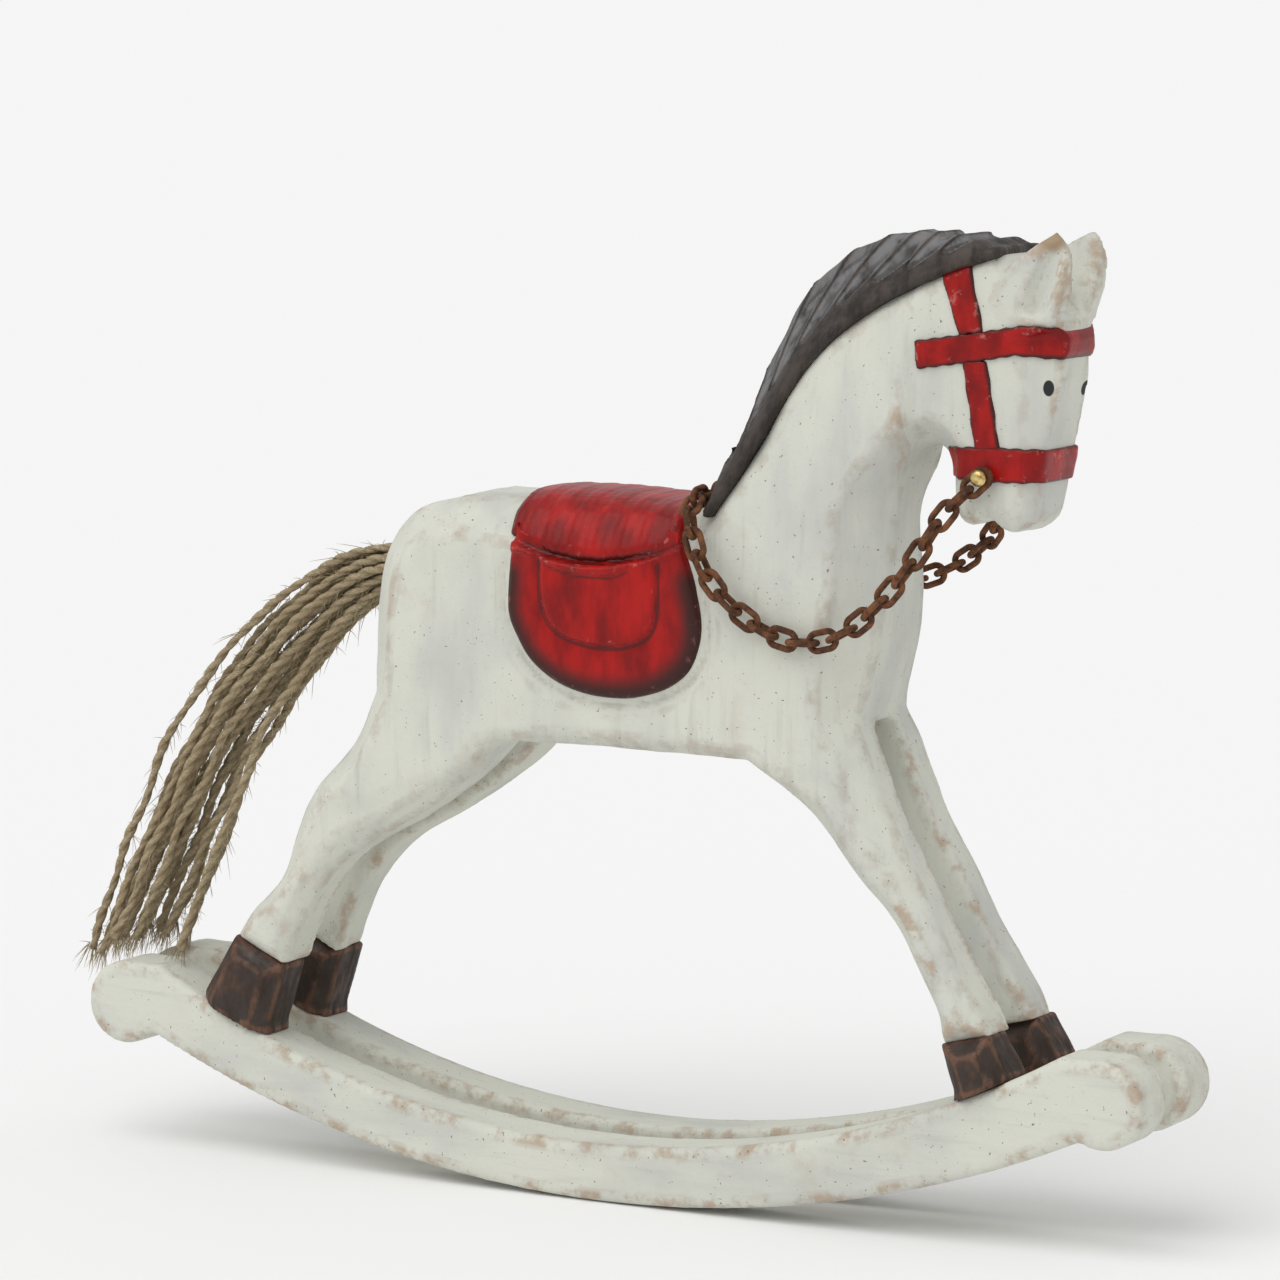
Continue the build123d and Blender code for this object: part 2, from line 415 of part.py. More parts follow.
# Each strand: points (x, y, z) from its end in the hole to its cut end.
TAIL_STRANDS = {
    "top_near": [(-43.5, -2.1, 125.14), (-53, -2.1, 125.14), (-65.2, -2.3, 122.4), (-79.4, -2.7, 113.4),
                 (-93.2, -3.1, 101.2), (-105, -3.6, 85.4), (-113.4, -3.8, 68), (-119.8, -3.6, 52),
                 (-126.4, -3.2, 37.4)],
    "top_middle": [(-43.5, 0, 125.14), (-53, 0, 125.14), (-65, 0, 121.8), (-79, 0, 112.2), (-92, 0.1, 99.2),
                   (-102.6, -0.2, 83.8), (-111, 0.2, 67.2), (-118.8, -0.1, 52), (-125, 0.2, 38.2)],
    "top_far": [(-43.5, 2.1, 125.14), (-53, 2.1, 125.14), (-65, 2.3, 121.6), (-79, 2.6, 111.8), (-91.8, 2.9, 98.8),
                (-102.2, 3.1, 83.6), (-110.6, 3.3, 66.8), (-117.8, 3.2, 52.4), (-123.4, 3.4, 39.4)],
    "upper_near": [(-43.5, -3.15, 123.32), (-53, -3.15, 123.32), (-64.2, -3.5, 119.6), (-77.4, -4.1, 109.8),
                   (-90, -4.5, 97), (-100.2, -4.9, 82), (-108.6, -5.2, 65.6), (-116.2, -5.4, 50.8),
                   (-122.2, -5.8, 37)],
    "upper_mid_near": [(-43.5, -1.05, 123.32), (-53, -1.05, 123.32), (-64.2, -1.2, 119.4), (-77.6, -1.4, 109.6),
                       (-89.8, -1.6, 96.8), (-100.4, -1.7, 81.8), (-108.8, -1.9, 65.8), (-115.6, -1.8, 51.4),
                       (-121.6, -2.2, 39)],
    "upper_mid_far": [(-43.5, 1.05, 123.32), (-53, 1.05, 123.32), (-64.2, 1.2, 119.4), (-77.4, 1.4, 109.4),
                      (-89.8, 1.5, 96.6), (-100, 1.7, 81.6), (-108.4, 1.6, 65.4), (-115.8, 1.8, 50.4),
                      (-120.8, 1.4, 39.6)],
    "upper_far": [(-43.5, 3.15, 123.32), (-53, 3.15, 123.32), (-64.2, 3.5, 119.2), (-77.4, 4.1, 109.2),
                  (-89.4, 4.5, 96.4), (-99.8, 4.9, 81.4), (-107.8, 5, 65.2), (-114.8, 5.3, 51),
                  (-119.4, 5.6, 42.4)],
    "middle_near": [(-43.5, -4.2, 121.5), (-53, -4.2, 121.5), (-63.4, -4.6, 117.2), (-75.8, -5.3, 107.4),
                    (-87.8, -5.9, 94.8), (-98, -6.3, 80.2), (-106, -6.8, 64.4), (-113.4, -7.1, 49.6),
                    (-117.2, -7.4, 41)],
    "middle_mid_near": [(-43.5, -2.1, 121.5), (-53, -2.1, 121.5), (-63.4, -2.3, 117), (-75.8, -2.7, 107.2),
                        (-87.4, -3, 94.6), (-98, -3.2, 80.2), (-106.2, -3.5, 64.2), (-112.8, -3.7, 50.4),
                        (-117.8, -4.1, 41.2)],
    "middle_mid_far": [(-43.5, 2.1, 121.5), (-53, 2.1, 121.5), (-63.4, 2.3, 117), (-75.6, 2.7, 107),
                       (-87.2, 3, 94.4), (-97.6, 3.2, 80), (-105.6, 3.4, 64), (-112.4, 3.3, 50),
                       (-116.4, 3.6, 41.4)],
    "middle_far": [(-43.5, 4.2, 121.5), (-53, 4.2, 121.5), (-63.4, 4.6, 116.8), (-75.6, 5.3, 106.8),
                   (-87, 5.9, 94.2), (-97, 6.3, 79.8), (-105, 6.6, 63.6), (-111.2, 6.8, 50.8),
                   (-115.4, 7.2, 42.8)],
    "lower_near": [(-43.5, -3.15, 119.68), (-53, -3.15, 119.68), (-62.4, -3.5, 114.8), (-74, -4.1, 104.8),
                   (-85.4, -4.6, 92.6), (-95.6, -5, 78.4), (-103, -5.4, 62.8), (-109.8, -5.8, 48.8),
                   (-113.6, -6, 40.8)],
    "lower_mid_near": [(-43.5, -1.05, 119.68), (-53, -1.05, 119.68), (-62.4, -1.2, 114.6), (-74, -1.4, 104.6),
                       (-85.2, -1.6, 92.4), (-95.6, -1.8, 78), (-103.6, -2.1, 62.4), (-109.6, -2.4, 49.2),
                       (-114.4, -2.6, 41)],
    "lower_mid_far": [(-43.5, 1.05, 119.68), (-53, 1.05, 119.68), (-62.4, 1.2, 114.6), (-74, 1.4, 104.4),
                      (-85, 1.6, 92.2), (-95, 1.7, 77.6), (-102.6, 1.8, 62), (-109.6, 2, 48.4),
                      (-112.8, 2.2, 41.6)],
    "lower_far": [(-43.5, 3.15, 119.68), (-53, 3.15, 119.68), (-62.4, 3.5, 114.4), (-73.8, 4.1, 104.4),
                  (-84.8, 4.6, 92), (-94.6, 5, 77.4), (-102, 5.2, 61.6), (-108, 5.6, 49),
                  (-111.6, 5.8, 42.2)],
    "loose_near": [(-43.5, -2.1, 117.86), (-53, -2.1, 117.86), (-61.4, -2.5, 112.4), (-71.8, -3.4, 101.8),
                   (-80.8, -4.9, 88.4), (-87.2, -6.7, 73), (-93.4, -8.2, 57.4), (-97.6, -9, 46.6),
                   (-99.8, -9.4, 40.4)],
    "bottom_middle": [(-43.5, 0, 117.86), (-53, 0, 117.86), (-61.4, 0, 112.2), (-72.2, 0.1, 102),
                      (-83, 0.2, 89.6), (-92.4, 0.1, 75.4), (-99.6, -0.3, 60.4), (-105.6, -0.6, 48),
                      (-109.4, -0.8, 41)],
    "bottom_far": [(-43.5, 2.1, 117.86), (-53, 2.1, 117.86), (-61.4, 2.4, 112), (-72, 2.9, 101.8),
                   (-82.6, 3.3, 89.2), (-91.6, 3.4, 75), (-98.4, 3.7, 59.6), (-104, 4, 47.4),
                   (-107.2, 4.2, 41.2)],
}


def tail_strand(name, points):
    """A tube along straight runs joined by arcs as large as the runs allow."""
    corners = [Vector(*point) for point in points]
    radii = []
    for before, here, after in zip(corners, corners[1:], corners[2:]):
        turn = radians((here - before).get_angle(after - here))
        shorter = min((here - before).length, (after - here).length)
        radii.append(0.45 * shorter / tan(turn / 2))
    path = FilletPolyline(*corners, radius=radii)
    section = Plane(origin=path.position_at(0), z_dir=path.tangent_at(0)) * Circle(STRAND_DIAMETER / 2)
    tube = sweep(section, path=path)
    expected = pi * STRAND_DIAMETER**2 / 4 * path.length
    print(f"{name}: length {path.length:.1f}, smallest radius {min(radii):.1f}, "
          f"volume over expected {tube.volume / expected:.4f}")
    return tube


def tail_hole():
    """Round hole in the rump that holds the strands, just wide enough for their three rings."""
    radius = 2 * STRAND_SPACING + STRAND_DIAMETER / 2 + HOLE_CLEARANCE
    length = TAIL_HOLE_DEPTH + 20
    place = Location((TAIL_ROOT_X + HOLE_CLEARANCE - length / 2, 0, TAIL_Z), (0, 90, 0))
    return place * Cylinder(radius, length)


# ---------------------------------------------------------------- building and saving
near_rail = rail(-RAIL_OUTSIDE, -HALF_RAIL_GAP)
near_hooves = {
    "rear_hoof": hoof(REAR_LEG_REAR[0], REAR_LEG_FRONT[-1], REAR_HOOF_FOOT),
    "front_hoof": hoof(FRONT_LEG_REAR[0], FRONT_LEG_FRONT[-1], FRONT_HOOF_FOOT),
}
near_dowels = dowel(REAR_DOWEL_X) + dowel(FRONT_DOWEL_X)
all_dowels = near_dowels + mirrored(near_dowels)
near_nail = nail()
both_nails = near_nail + mirrored(near_nail)

block = carved_block()
seat_pad = seat(block)
near_flap = flap(seat_pad)
mane_foot = make_face([smooth(MANE_MIDDLE), smooth(CREST)])
mane_ridge = make_face([smooth(MANE_TOP), smooth(MANE_MIDDLE)])
mane = slab(mane_foot, -HALF_BLOCK, HALF_BLOCK) & block_limits(MANE_PROUD)
mane = mane + slab(mane_ridge, -MANE_CREST_HALF_WIDTH, MANE_CREST_HALF_WIDTH)
browband = strap_shell(block, BROWBAND_SIDE) - mane
noseband = strap_shell(block, NOSEBAND_SIDE) - both_nails
near_upper_strap = near_half(strap_shell(block, UPPER_STRAP)) - browband - mane
near_lower_strap = near_half(strap_shell(block, LOWER_STRAP)) - browband - noseband

horse = block - all_dowels - both_nails - tail_hole()
save("horse_body", horse)
save("mane", mane)
save("saddle_seat", seat_pad)
save("near_saddle_flap", near_flap)
save("far_saddle_flap", mirrored(near_flap))
save("browband", browband)
save("noseband", noseband)
save("near_upper_cheek_strap", near_upper_strap)
save("far_upper_cheek_strap", mirrored(near_upper_strap))
save("near_lower_cheek_strap", near_lower_strap)
save("far_lower_cheek_strap", mirrored(near_lower_strap))
for name, shape in near_hooves.items():
    bored = shape - near_dowels
    save("near_" + name, bored)
    save("far_" + name, mirrored(bored))
bored_rail = near_rail - near_dowels
save("near_rocker", bored_rail)
save("far_rocker", mirrored(bored_rail))
save("rocker_dowels", all_dowels)
save("near_rein_nail", near_nail)
save("far_rein_nail", mirrored(near_nail))
save("rein_chain", Compound(children=chain_links()))
peg_length = TAIL_HOLE_DEPTH - 1
peg_place = Location((TAIL_ROOT_X - peg_length / 2, 0, TAIL_Z), (0, 90, 0))
save("tail_peg", peg_place * Cylinder(TAIL_PEG_DIAMETER / 2, peg_length))
for name, points in TAIL_STRANDS.items():
    save("tail_strand_" + name, tail_strand(name, points))
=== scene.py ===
import bpy
import numpy as np
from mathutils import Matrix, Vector


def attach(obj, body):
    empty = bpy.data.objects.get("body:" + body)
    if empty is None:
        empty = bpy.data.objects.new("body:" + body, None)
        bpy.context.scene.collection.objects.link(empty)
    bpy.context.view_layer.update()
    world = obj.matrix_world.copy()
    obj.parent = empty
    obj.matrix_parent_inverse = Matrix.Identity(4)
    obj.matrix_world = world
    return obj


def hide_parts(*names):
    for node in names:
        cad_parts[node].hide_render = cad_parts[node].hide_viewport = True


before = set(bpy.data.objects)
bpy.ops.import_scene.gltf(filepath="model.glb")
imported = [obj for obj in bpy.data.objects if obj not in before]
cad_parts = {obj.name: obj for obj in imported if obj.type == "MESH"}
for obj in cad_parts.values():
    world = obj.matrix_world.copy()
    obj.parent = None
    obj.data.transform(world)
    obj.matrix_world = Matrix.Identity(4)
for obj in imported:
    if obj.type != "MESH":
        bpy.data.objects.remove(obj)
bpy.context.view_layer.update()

# ---------------------------------------------------------------- the imported model
# The toy's box as it was built, kept in the scene.
# Lengths below are in millimetres, and MM turns them into metres.
MM = 0.001

# ---------------------------------------------------------------- camera
# A long lens a metre away, a little above the saddle, seen from the horse's right front quarter.
CAMERA_AIM = Vector((2.66 * MM, 0.0, 109.0 * MM))
CAMERA_TURN, CAMERA_RISE, CAMERA_DISTANCE = 0.509, 0.118, 1.0864
CAMERA_LENS, CAMERA_SENSOR = 156.1, 36.0
lens = bpy.data.cameras.new("camera")
lens.lens, lens.sensor_width = CAMERA_LENS, CAMERA_SENSOR
lens.clip_start, lens.clip_end = 0.05, 200.0
camera = bpy.data.objects.new("camera", lens)
towards_camera = Vector((np.sin(CAMERA_TURN) * np.cos(CAMERA_RISE),
                         -np.cos(CAMERA_TURN) * np.cos(CAMERA_RISE), np.sin(CAMERA_RISE)))
camera.location = CAMERA_AIM + towards_camera * CAMERA_DISTANCE
camera.rotation_mode = "QUATERNION"
camera.rotation_quaternion = (-towards_camera).to_track_quat("-Z", "Y")
bpy.context.collection.objects.link(camera)
bpy.context.scene.camera = camera

# ---------------------------------------------------------------- tail
# Eighteen strands of two-ply jute twine, pushed into one hole in the rump and cut off ragged.
# Each strand is a free cord: a smooth line through the points of its route, in millimetres.
STRAND_DIAMETER = 1.8
HOLE_BOTTOM_X, HOLE_MOUTH_X = -43.5, -53
# where each strand sits in the hole (across, up), and the points of its route from there
TAIL_STRANDS = {
    "top_near": [(-2.1, 125.14), (-65.2, -2.3, 122.4), (-79.4, -2.7, 113.4), (-93.2, -3.1, 101.2),
        (-105, -3.6, 85.4), (-113.4, -3.8, 68), (-119.8, -3.6, 52), (-126.4, -3.2, 37.4)],
    "top_middle": [(0, 125.14), (-65, 0, 121.8), (-79, 0, 112.2), (-92, 0.1, 99.2), (-102.6, -0.2, 83.8),
        (-111, 0.2, 67.2), (-118.8, -0.1, 52), (-125, 0.2, 38.2)],
    "top_far": [(2.1, 125.14), (-65, 2.3, 121.6), (-79, 2.6, 111.8), (-91.8, 2.9, 98.8), (-102.2, 3.1, 83.6),
        (-110.6, 3.3, 66.8), (-117.8, 3.2, 52.4), (-123.4, 3.4, 39.4)],
    "upper_near": [(-3.15, 123.32), (-64.2, -3.5, 119.6), (-77.4, -4.1, 109.8), (-90, -4.5, 97),
        (-100.2, -4.9, 82), (-108.6, -5.2, 65.6), (-116.2, -5.4, 50.8), (-122.2, -5.8, 37)],
    "upper_mid_near": [(-1.05, 123.32), (-64.2, -1.2, 119.4), (-77.6, -1.4, 109.6), (-89.8, -1.6, 96.8),
        (-100.4, -1.7, 81.8), (-108.8, -1.9, 65.8), (-115.6, -1.8, 51.4), (-121.6, -2.2, 39)],
    "upper_mid_far": [(1.05, 123.32), (-64.2, 1.2, 119.4), (-77.4, 1.4, 109.4), (-89.8, 1.5, 96.6),
        (-100, 1.7, 81.6), (-108.4, 1.6, 65.4), (-115.8, 1.8, 50.4), (-120.8, 1.4, 39.6)],
    "upper_far": [(3.15, 123.32), (-64.2, 3.5, 119.2), (-77.4, 4.1, 109.2), (-89.4, 4.5, 96.4),
        (-99.8, 4.9, 81.4), (-107.8, 5, 65.2), (-114.8, 5.3, 51), (-119.4, 5.6, 42.4)],
    "middle_near": [(-4.2, 121.5), (-63.4, -4.6, 117.2), (-75.8, -5.3, 107.4), (-87.8, -5.9, 94.8),
        (-98, -6.3, 80.2), (-106, -6.8, 64.4), (-113.4, -7.1, 49.6), (-117.2, -7.4, 41)],
    "middle_mid_near": [(-2.1, 121.5), (-63.4, -2.3, 117), (-75.8, -2.7, 107.2), (-87.4, -3, 94.6),
        (-98, -3.2, 80.2), (-106.2, -3.5, 64.2), (-112.8, -3.7, 50.4), (-117.8, -4.1, 41.2)],
    "middle_mid_far": [(2.1, 121.5), (-63.4, 2.3, 117), (-75.6, 2.7, 107), (-87.2, 3, 94.4),
        (-97.6, 3.2, 80), (-105.6, 3.4, 64), (-112.4, 3.3, 50), (-116.4, 3.6, 41.4)],
    "middle_far": [(4.2, 121.5), (-63.4, 4.6, 116.8), (-75.6, 5.3, 106.8), (-87, 5.9, 94.2),
        (-97, 6.3, 79.8), (-105, 6.6, 63.6), (-111.2, 6.8, 50.8), (-115.4, 7.2, 42.8)],
    "lower_near": [(-3.15, 119.68), (-62.4, -3.5, 114.8), (-74, -4.1, 104.8), (-85.4, -4.6, 92.6),
        (-95.6, -5, 78.4), (-103, -5.4, 62.8), (-109.8, -5.8, 48.8), (-113.6, -6, 40.8)],
    "lower_mid_near": [(-1.05, 119.68), (-62.4, -1.2, 114.6), (-74, -1.4, 104.6), (-85.2, -1.6, 92.4),
        (-95.6, -1.8, 78), (-103.6, -2.1, 62.4), (-109.6, -2.4, 49.2), (-114.4, -2.6, 41)],
    "lower_mid_far": [(1.05, 119.68), (-62.4, 1.2, 114.6), (-74, 1.4, 104.4), (-85, 1.6, 92.2),
        (-95, 1.7, 77.6), (-102.6, 1.8, 62), (-109.6, 2, 48.4), (-112.8, 2.2, 41.6)],
    "lower_far": [(3.15, 119.68), (-62.4, 3.5, 114.4), (-73.8, 4.1, 104.4), (-84.8, 4.6, 92),
        (-94.6, 5, 77.4), (-102, 5.2, 61.6), (-108, 5.6, 49), (-111.6, 5.8, 42.2)],
    "loose_near": [(-2.1, 117.86), (-61.4, -2.5, 112.4), (-71.8, -3.4, 101.8), (-80.8, -4.9, 88.4),
        (-87.2, -6.7, 73), (-93.4, -8.2, 57.4), (-97.6, -9, 46.6), (-99.8, -9.4, 40.4)],
    "bottom_middle": [(0, 117.86), (-61.4, 0, 112.2), (-72.2, 0.1, 102), (-83, 0.2, 89.6),
        (-92.4, 0.1, 75.4), (-99.6, -0.3, 60.4), (-105.6, -0.6, 48), (-109.4, -0.8, 41)],
    "bottom_far": [(2.1, 117.86), (-61.4, 2.4, 112), (-72, 2.9, 101.8), (-82.6, 3.3, 89.2), (-91.6, 3.4, 75),
        (-98.4, 3.7, 59.6), (-104, 4, 47.4), (-107.2, 4.2, 41.2)],
}
TWINE_LAY, PLY_SIDES = 8.0, 12
PLY_CORE, PLY_SWELL, PLY_LOOSENESS, STRAND_STRAY = 0.62, 0.42, 0.14, 0.28
FIBRES_PER_STRAND, FRAYED_PER_STRAND = 120, 22
HAIR_RADII = [0.085, 0.075, 0.06, 0.015]
chance = np.random.default_rng(7)


def plant(name, points, faces, material, slot, *nodes):
    """A closed mesh from points in millimetres, riding on the horse and standing for built nodes."""
    mesh = bpy.data.meshes.new(name)
    mesh.from_pydata((points * MM).tolist(), [], faces)
    mesh.polygons.foreach_set("use_smooth", np.ones(len(mesh.polygons), dtype=bool))
    mesh.materials.append(material)
    piece = bpy.data.objects.new(name, mesh)
    bpy.context.collection.objects.link(piece)
    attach(piece, "carved_horse")
    if nodes:
        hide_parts(*nodes)
    return piece


def walls(rings):
    """Quads between each ring of point numbers and the next."""
    here, there = rings[..., :-1, :], rings[..., 1:, :]
    quads = np.stack([here, np.roll(here, -1, -1), np.roll(there, -1, -1), there], -1)
    return quads.reshape(-1, 4).tolist()


def fans(first_ring, last_ring, count):
    """Triangles from each end ring to a point of its own; those two points come after count others."""
    start = [(count, b, a) for a, b in zip(first_ring, np.roll(first_ring, -1))]
    return start + [(count + 1, a, b) for a, b in zip(last_ring, np.roll(last_ring, -1))]


def mark(piece, name, values):
    """Stores one value for each point of a piece, for its finish to read."""
    piece.data.attributes.new(name, "FLOAT", "POINT").data.foreach_set("value", values.astype(np.float32))


def add(tree, kind, values=None, **settings):
    """One shader node; values go to its sockets by name or number, and another node's socket is joined."""
    node = tree.nodes.new("ShaderNode" + kind)
    for key, value in settings.items():
        setattr(node, key, value)
    for key, value in (values or {}).items():
        if isinstance(value, bpy.types.NodeSocket):
            tree.links.new(value, node.inputs[key])
        else:
            node.inputs[key].default_value = value
    return node


def noise(tree, where, scale, detail=4.0, roughness=0.55, stretch=(1, 1, 1)):
    """Cloudy pattern of a given number of features to the metre, drawn out along the axes."""
    mapped = add(tree, "Mapping", {"Vector": where, "Scale": stretch}).outputs["Vector"]
    return add(tree, "TexNoise", {"Vector": mapped, "Scale": scale, "Detail": detail,
                                  "Roughness": roughness}).outputs["Fac"]


def between(tree, value, low, high):
    """0 below low, 1 above high and a soft step from one to the other."""
    return add(tree, "MapRange", {"Value": value, "From Min": low, "From Max": high},
               interpolation_type="SMOOTHSTEP").outputs["Result"]


def tint(tree, share, under, over):
    """The colour over laid on the colour under by a share from 0 to 1."""
    mixed = add(tree, "Mix", {0: share, 6: under, 7: over}, data_type="RGBA")
    return mixed.outputs[2]


def wash(tree, colour, over, share, pattern, low, high):
    """A colour laid on by up to a share, where a pattern rises from low to high."""
    return tint(tree, times(tree, between(tree, pattern, low, high), share), colour, over)


def times(tree, first, second):
    """Two values multiplied."""
    return add(tree, "Math", {0: first, 1: second}, operation="MULTIPLY").outputs[0]


def plus(tree, first, second):
    """Two values added."""
    return add(tree, "Math", {0: first, 1: second}, operation="ADD").outputs[0]


def place_on(tree):
    """Where a point of the piece is, in metres."""
    return add(tree, "TexCoord").outputs["Object"]


def marked(tree, name):
    """The value that mark() stored for a point."""
    return add(tree, "Attribute", attribute_name=name).outputs["Fac"]


def coat(tree, shader, colour):
    """Joins a worked-out colour to the shader."""
    tree.links.new(colour, shader.inputs["Base Color"])


def finish_of(name, roughness, **constants):
    """A new material: its node tree and its Principled shader, with the constants on the shader."""
    material = bpy.data.materials.new(name)
    material.use_nodes = True
    tree = material.node_tree
    shader = tree.nodes["Principled BSDF"]
    shader.inputs["Roughness"].default_value = roughness
    for key, value in constants.items():
        shader.inputs[key.replace("_", " ")].default_value = value
    return material, tree, shader


def rough_up(tree, shader, height, distance, strength=1.0):
    """Relief in the shading, with a height in metres."""
    bump = add(tree, "Bump", {"Height": height, "Distance": distance, "Strength": strength})
    tree.links.new(bump.outputs["Normal"], shader.inputs["Normal"])


STRAW_DARK, STRAW_LIGHT, STRAW_BROWN = (0.25, 0.19, 0.108, 1), (0.60, 0.50, 0.33, 1), (0.38, 0.29, 0.175, 1)
PLY_SHADOW = (0.15, 0.105, 0.058, 1)


def twine_finish():
    """Raw jute: straw brown, darker between the plies, streaked along the fibres."""
    material, tree, shader = finish_of("jute_twine", 0.85, Specular_IOR_Level=0.25)
    along = add(tree, "UVMap").outputs["UV"]
    streaks = add(tree, "Mapping", {"Vector": along, "Scale": (1.0, 9.0, 1.0)}).outputs["Vector"]
    fibre = add(tree, "TexNoise", {"Vector": streaks, "Scale": 1.4, "Detail": 5.0}).outputs["Fac"]
    patches = noise(tree, place_on(tree), 90.0)
    colour = tint(tree, between(tree, fibre, 0.3, 0.72), STRAW_DARK, STRAW_LIGHT)
    colour = wash(tree, colour, STRAW_BROWN, 0.6, patches, 0.42, 0.66)
    colour = tint(tree, times(tree, marked(tree, "groove"), 0.5), colour, PLY_SHADOW)
    coat(tree, shader, colour)
    rough_up(tree, shader, fibre, 0.0003)
    return material


def strand_line(name, route):
    """Points along the smooth line that has the route's points as its control points."""
    curve = bpy.data.curves.new(name, "CURVE")
    curve.dimensions = "3D"
    spline = curve.splines.new("NURBS")
    spline.points.add(len(route) - 1)
    for point, place in zip(spline.points, route):
        point.co = (*(Vector(place) * MM), 1.0)
    spline.order_u = 3
    spline.use_endpoint_u = True
    spline.resolution_u = 44
    guide = bpy.data.objects.new(name + "_guide", curve)
    bpy.context.collection.objects.link(guide)
    line = bpy.data.meshes.new_from_object(guide)
    points = np.empty(len(line.vertices) * 3)
    line.vertices.foreach_get("co", points)
    bpy.data.objects.remove(guide)
    bpy.data.meshes.remove(line)
    return points.reshape(-1, 3) / MM


def soft_step(value, low, high):
    """0 up to low, 1 from high on, and a smooth rise between."""
    share = np.clip((value - low) / (high - low), 0, 1)
    return share * share * (3 - 2 * share)


def travel(line):
    """Distance along a line at each of its points."""
    return np.concatenate([[0.0], np.cumsum(np.linalg.norm(np.diff(line, axis=0), axis=1))])


def across(line):
    """Unit directions along the line, and two square to it, at each of its points."""
    ahead = np.gradient(line, axis=0)
    ahead /= np.linalg.norm(ahead, axis=1, keepdims=True)
    side = np.array([0.0, 1.0, 0.0]) - ahead * ahead[:, 1:2]
    side /= np.linalg.norm(side, axis=1, keepdims=True)
    return ahead, side, np.cross(ahead, side)


def twine(line, start_angle):
    """Two plies wound round each other: the radius at angle a, a distance s along, is the core and
    the swell times |cos(a - 2 pi s / lay)| ^ 0.8, tighter and looser along the strand. The middle
    strays from the line a little once it is clear of the rump. A point closes each end."""
    run = travel(line)
    ahead, side, up = across(line)
    turn = (2 * np.pi * run / TWINE_LAY)[:, None]
    angle = np.linspace(0, 2 * np.pi, PLY_SIDES, endpoint=False)[None, :] + turn
    lobe = np.abs(np.cos(angle - 2 * np.pi * run[:, None] / TWINE_LAY)) ** 0.8
    slack = 1 + PLY_LOOSENESS * np.sin(run / 3.1 + start_angle)[:, None]
    radius = STRAND_DIAMETER / 2 * (PLY_CORE + PLY_SWELL * lobe) * slack
    angle = angle + start_angle
    stray = soft_step(run, 12, 45) * STRAND_STRAY
    sideways = stray * (np.sin(run / 6.3 + 2 * start_angle) + np.sin(run / 2.9 + start_angle))
    upwards = stray * (np.cos(run / 5.1 - start_angle) + np.sin(run / 3.4 + 3 * start_angle))
    middle = line + sideways[:, None] * side
    middle = middle + upwards[:, None] * up
    ring = (middle[:, None] + radius[..., None] * (np.cos(angle)[..., None] * side[:, None]
                                                 + np.sin(angle)[..., None] * up[:, None]))
    rows, sides = ring.shape[:2]
    number = np.arange(rows * sides).reshape(rows, sides)
    faces = walls(number) + fans(number[0], number[-1], rows * sides)
    points = np.concatenate([ring.reshape(-1, 3), middle[:1], middle[-1:]])
    groove = np.concatenate([(1 - lobe).ravel(), [0, 0]])
    return points, faces, groove, run


jute = twine_finish()
fibre_roots, fibre_ways = [], []
for number, (strand_name, route) in enumerate(TAIL_STRANDS.items()):
    node, in_hole = "tail_strand_" + strand_name, route[0]
    line = strand_line(node, [(HOLE_BOTTOM_X, *in_hole), (HOLE_MOUTH_X, *in_hole), *route[1:]])
    points, faces, groove, run = twine(line, 1.3 * number)
    strand = plant(node + "_twine", points, faces, jute, "tail_twine", node)
    mesh = strand.data
    mark(strand, "groove", groove)
    corner = np.empty(len(mesh.loops), dtype=np.int32)
    mesh.loops.foreach_get("vertex_index", corner)
    along = np.concatenate([np.repeat(run, PLY_SIDES), run[:1], run[-1:]])
    round_it = np.concatenate([np.tile(np.arange(PLY_SIDES) / PLY_SIDES, len(run)), [0, 0]])
    uv = np.stack([along[corner] + 37.0 * number, 2 * np.abs(round_it[corner] - 0.5)], -1)
    mesh.uv_layers.new(name="along").data.foreach_set("uv", uv.ravel().astype(np.float32))
    ahead, side, up = across(line)
    spot = chance.integers(len(line) // 9, len(line), FIBRES_PER_STRAND)
    turn = chance.uniform(0, 2 * np.pi, FIBRES_PER_STRAND)[:, None]
    out = np.cos(turn) * side[spot] + np.sin(turn) * up[spot]
    fibre_roots.append(line[spot] + out * STRAND_DIAMETER * 0.35)
    fibre_ways.append((out * chance.uniform(0.3, 1, (FIBRES_PER_STRAND, 1))
                       + ahead[spot] * chance.uniform(-0.4, 1.6, (FIBRES_PER_STRAND, 1)))
                      * chance.uniform(1.2, 4.2, (FIBRES_PER_STRAND, 1)))
    turn = chance.uniform(0, 2 * np.pi, FRAYED_PER_STRAND)[:, None]
    out = np.cos(turn) * side[-1] + np.sin(turn) * up[-1]
    fibre_roots.append(line[-1] + out * STRAND_DIAMETER * 0.3 - ahead[-1])
    fibre_ways.append((ahead[-1] + out * chance.uniform(0.05, 0.6, (FRAYED_PER_STRAND, 1)))
                      * chance.uniform(2.0, 6.0, (FRAYED_PER_STRAND, 1)))


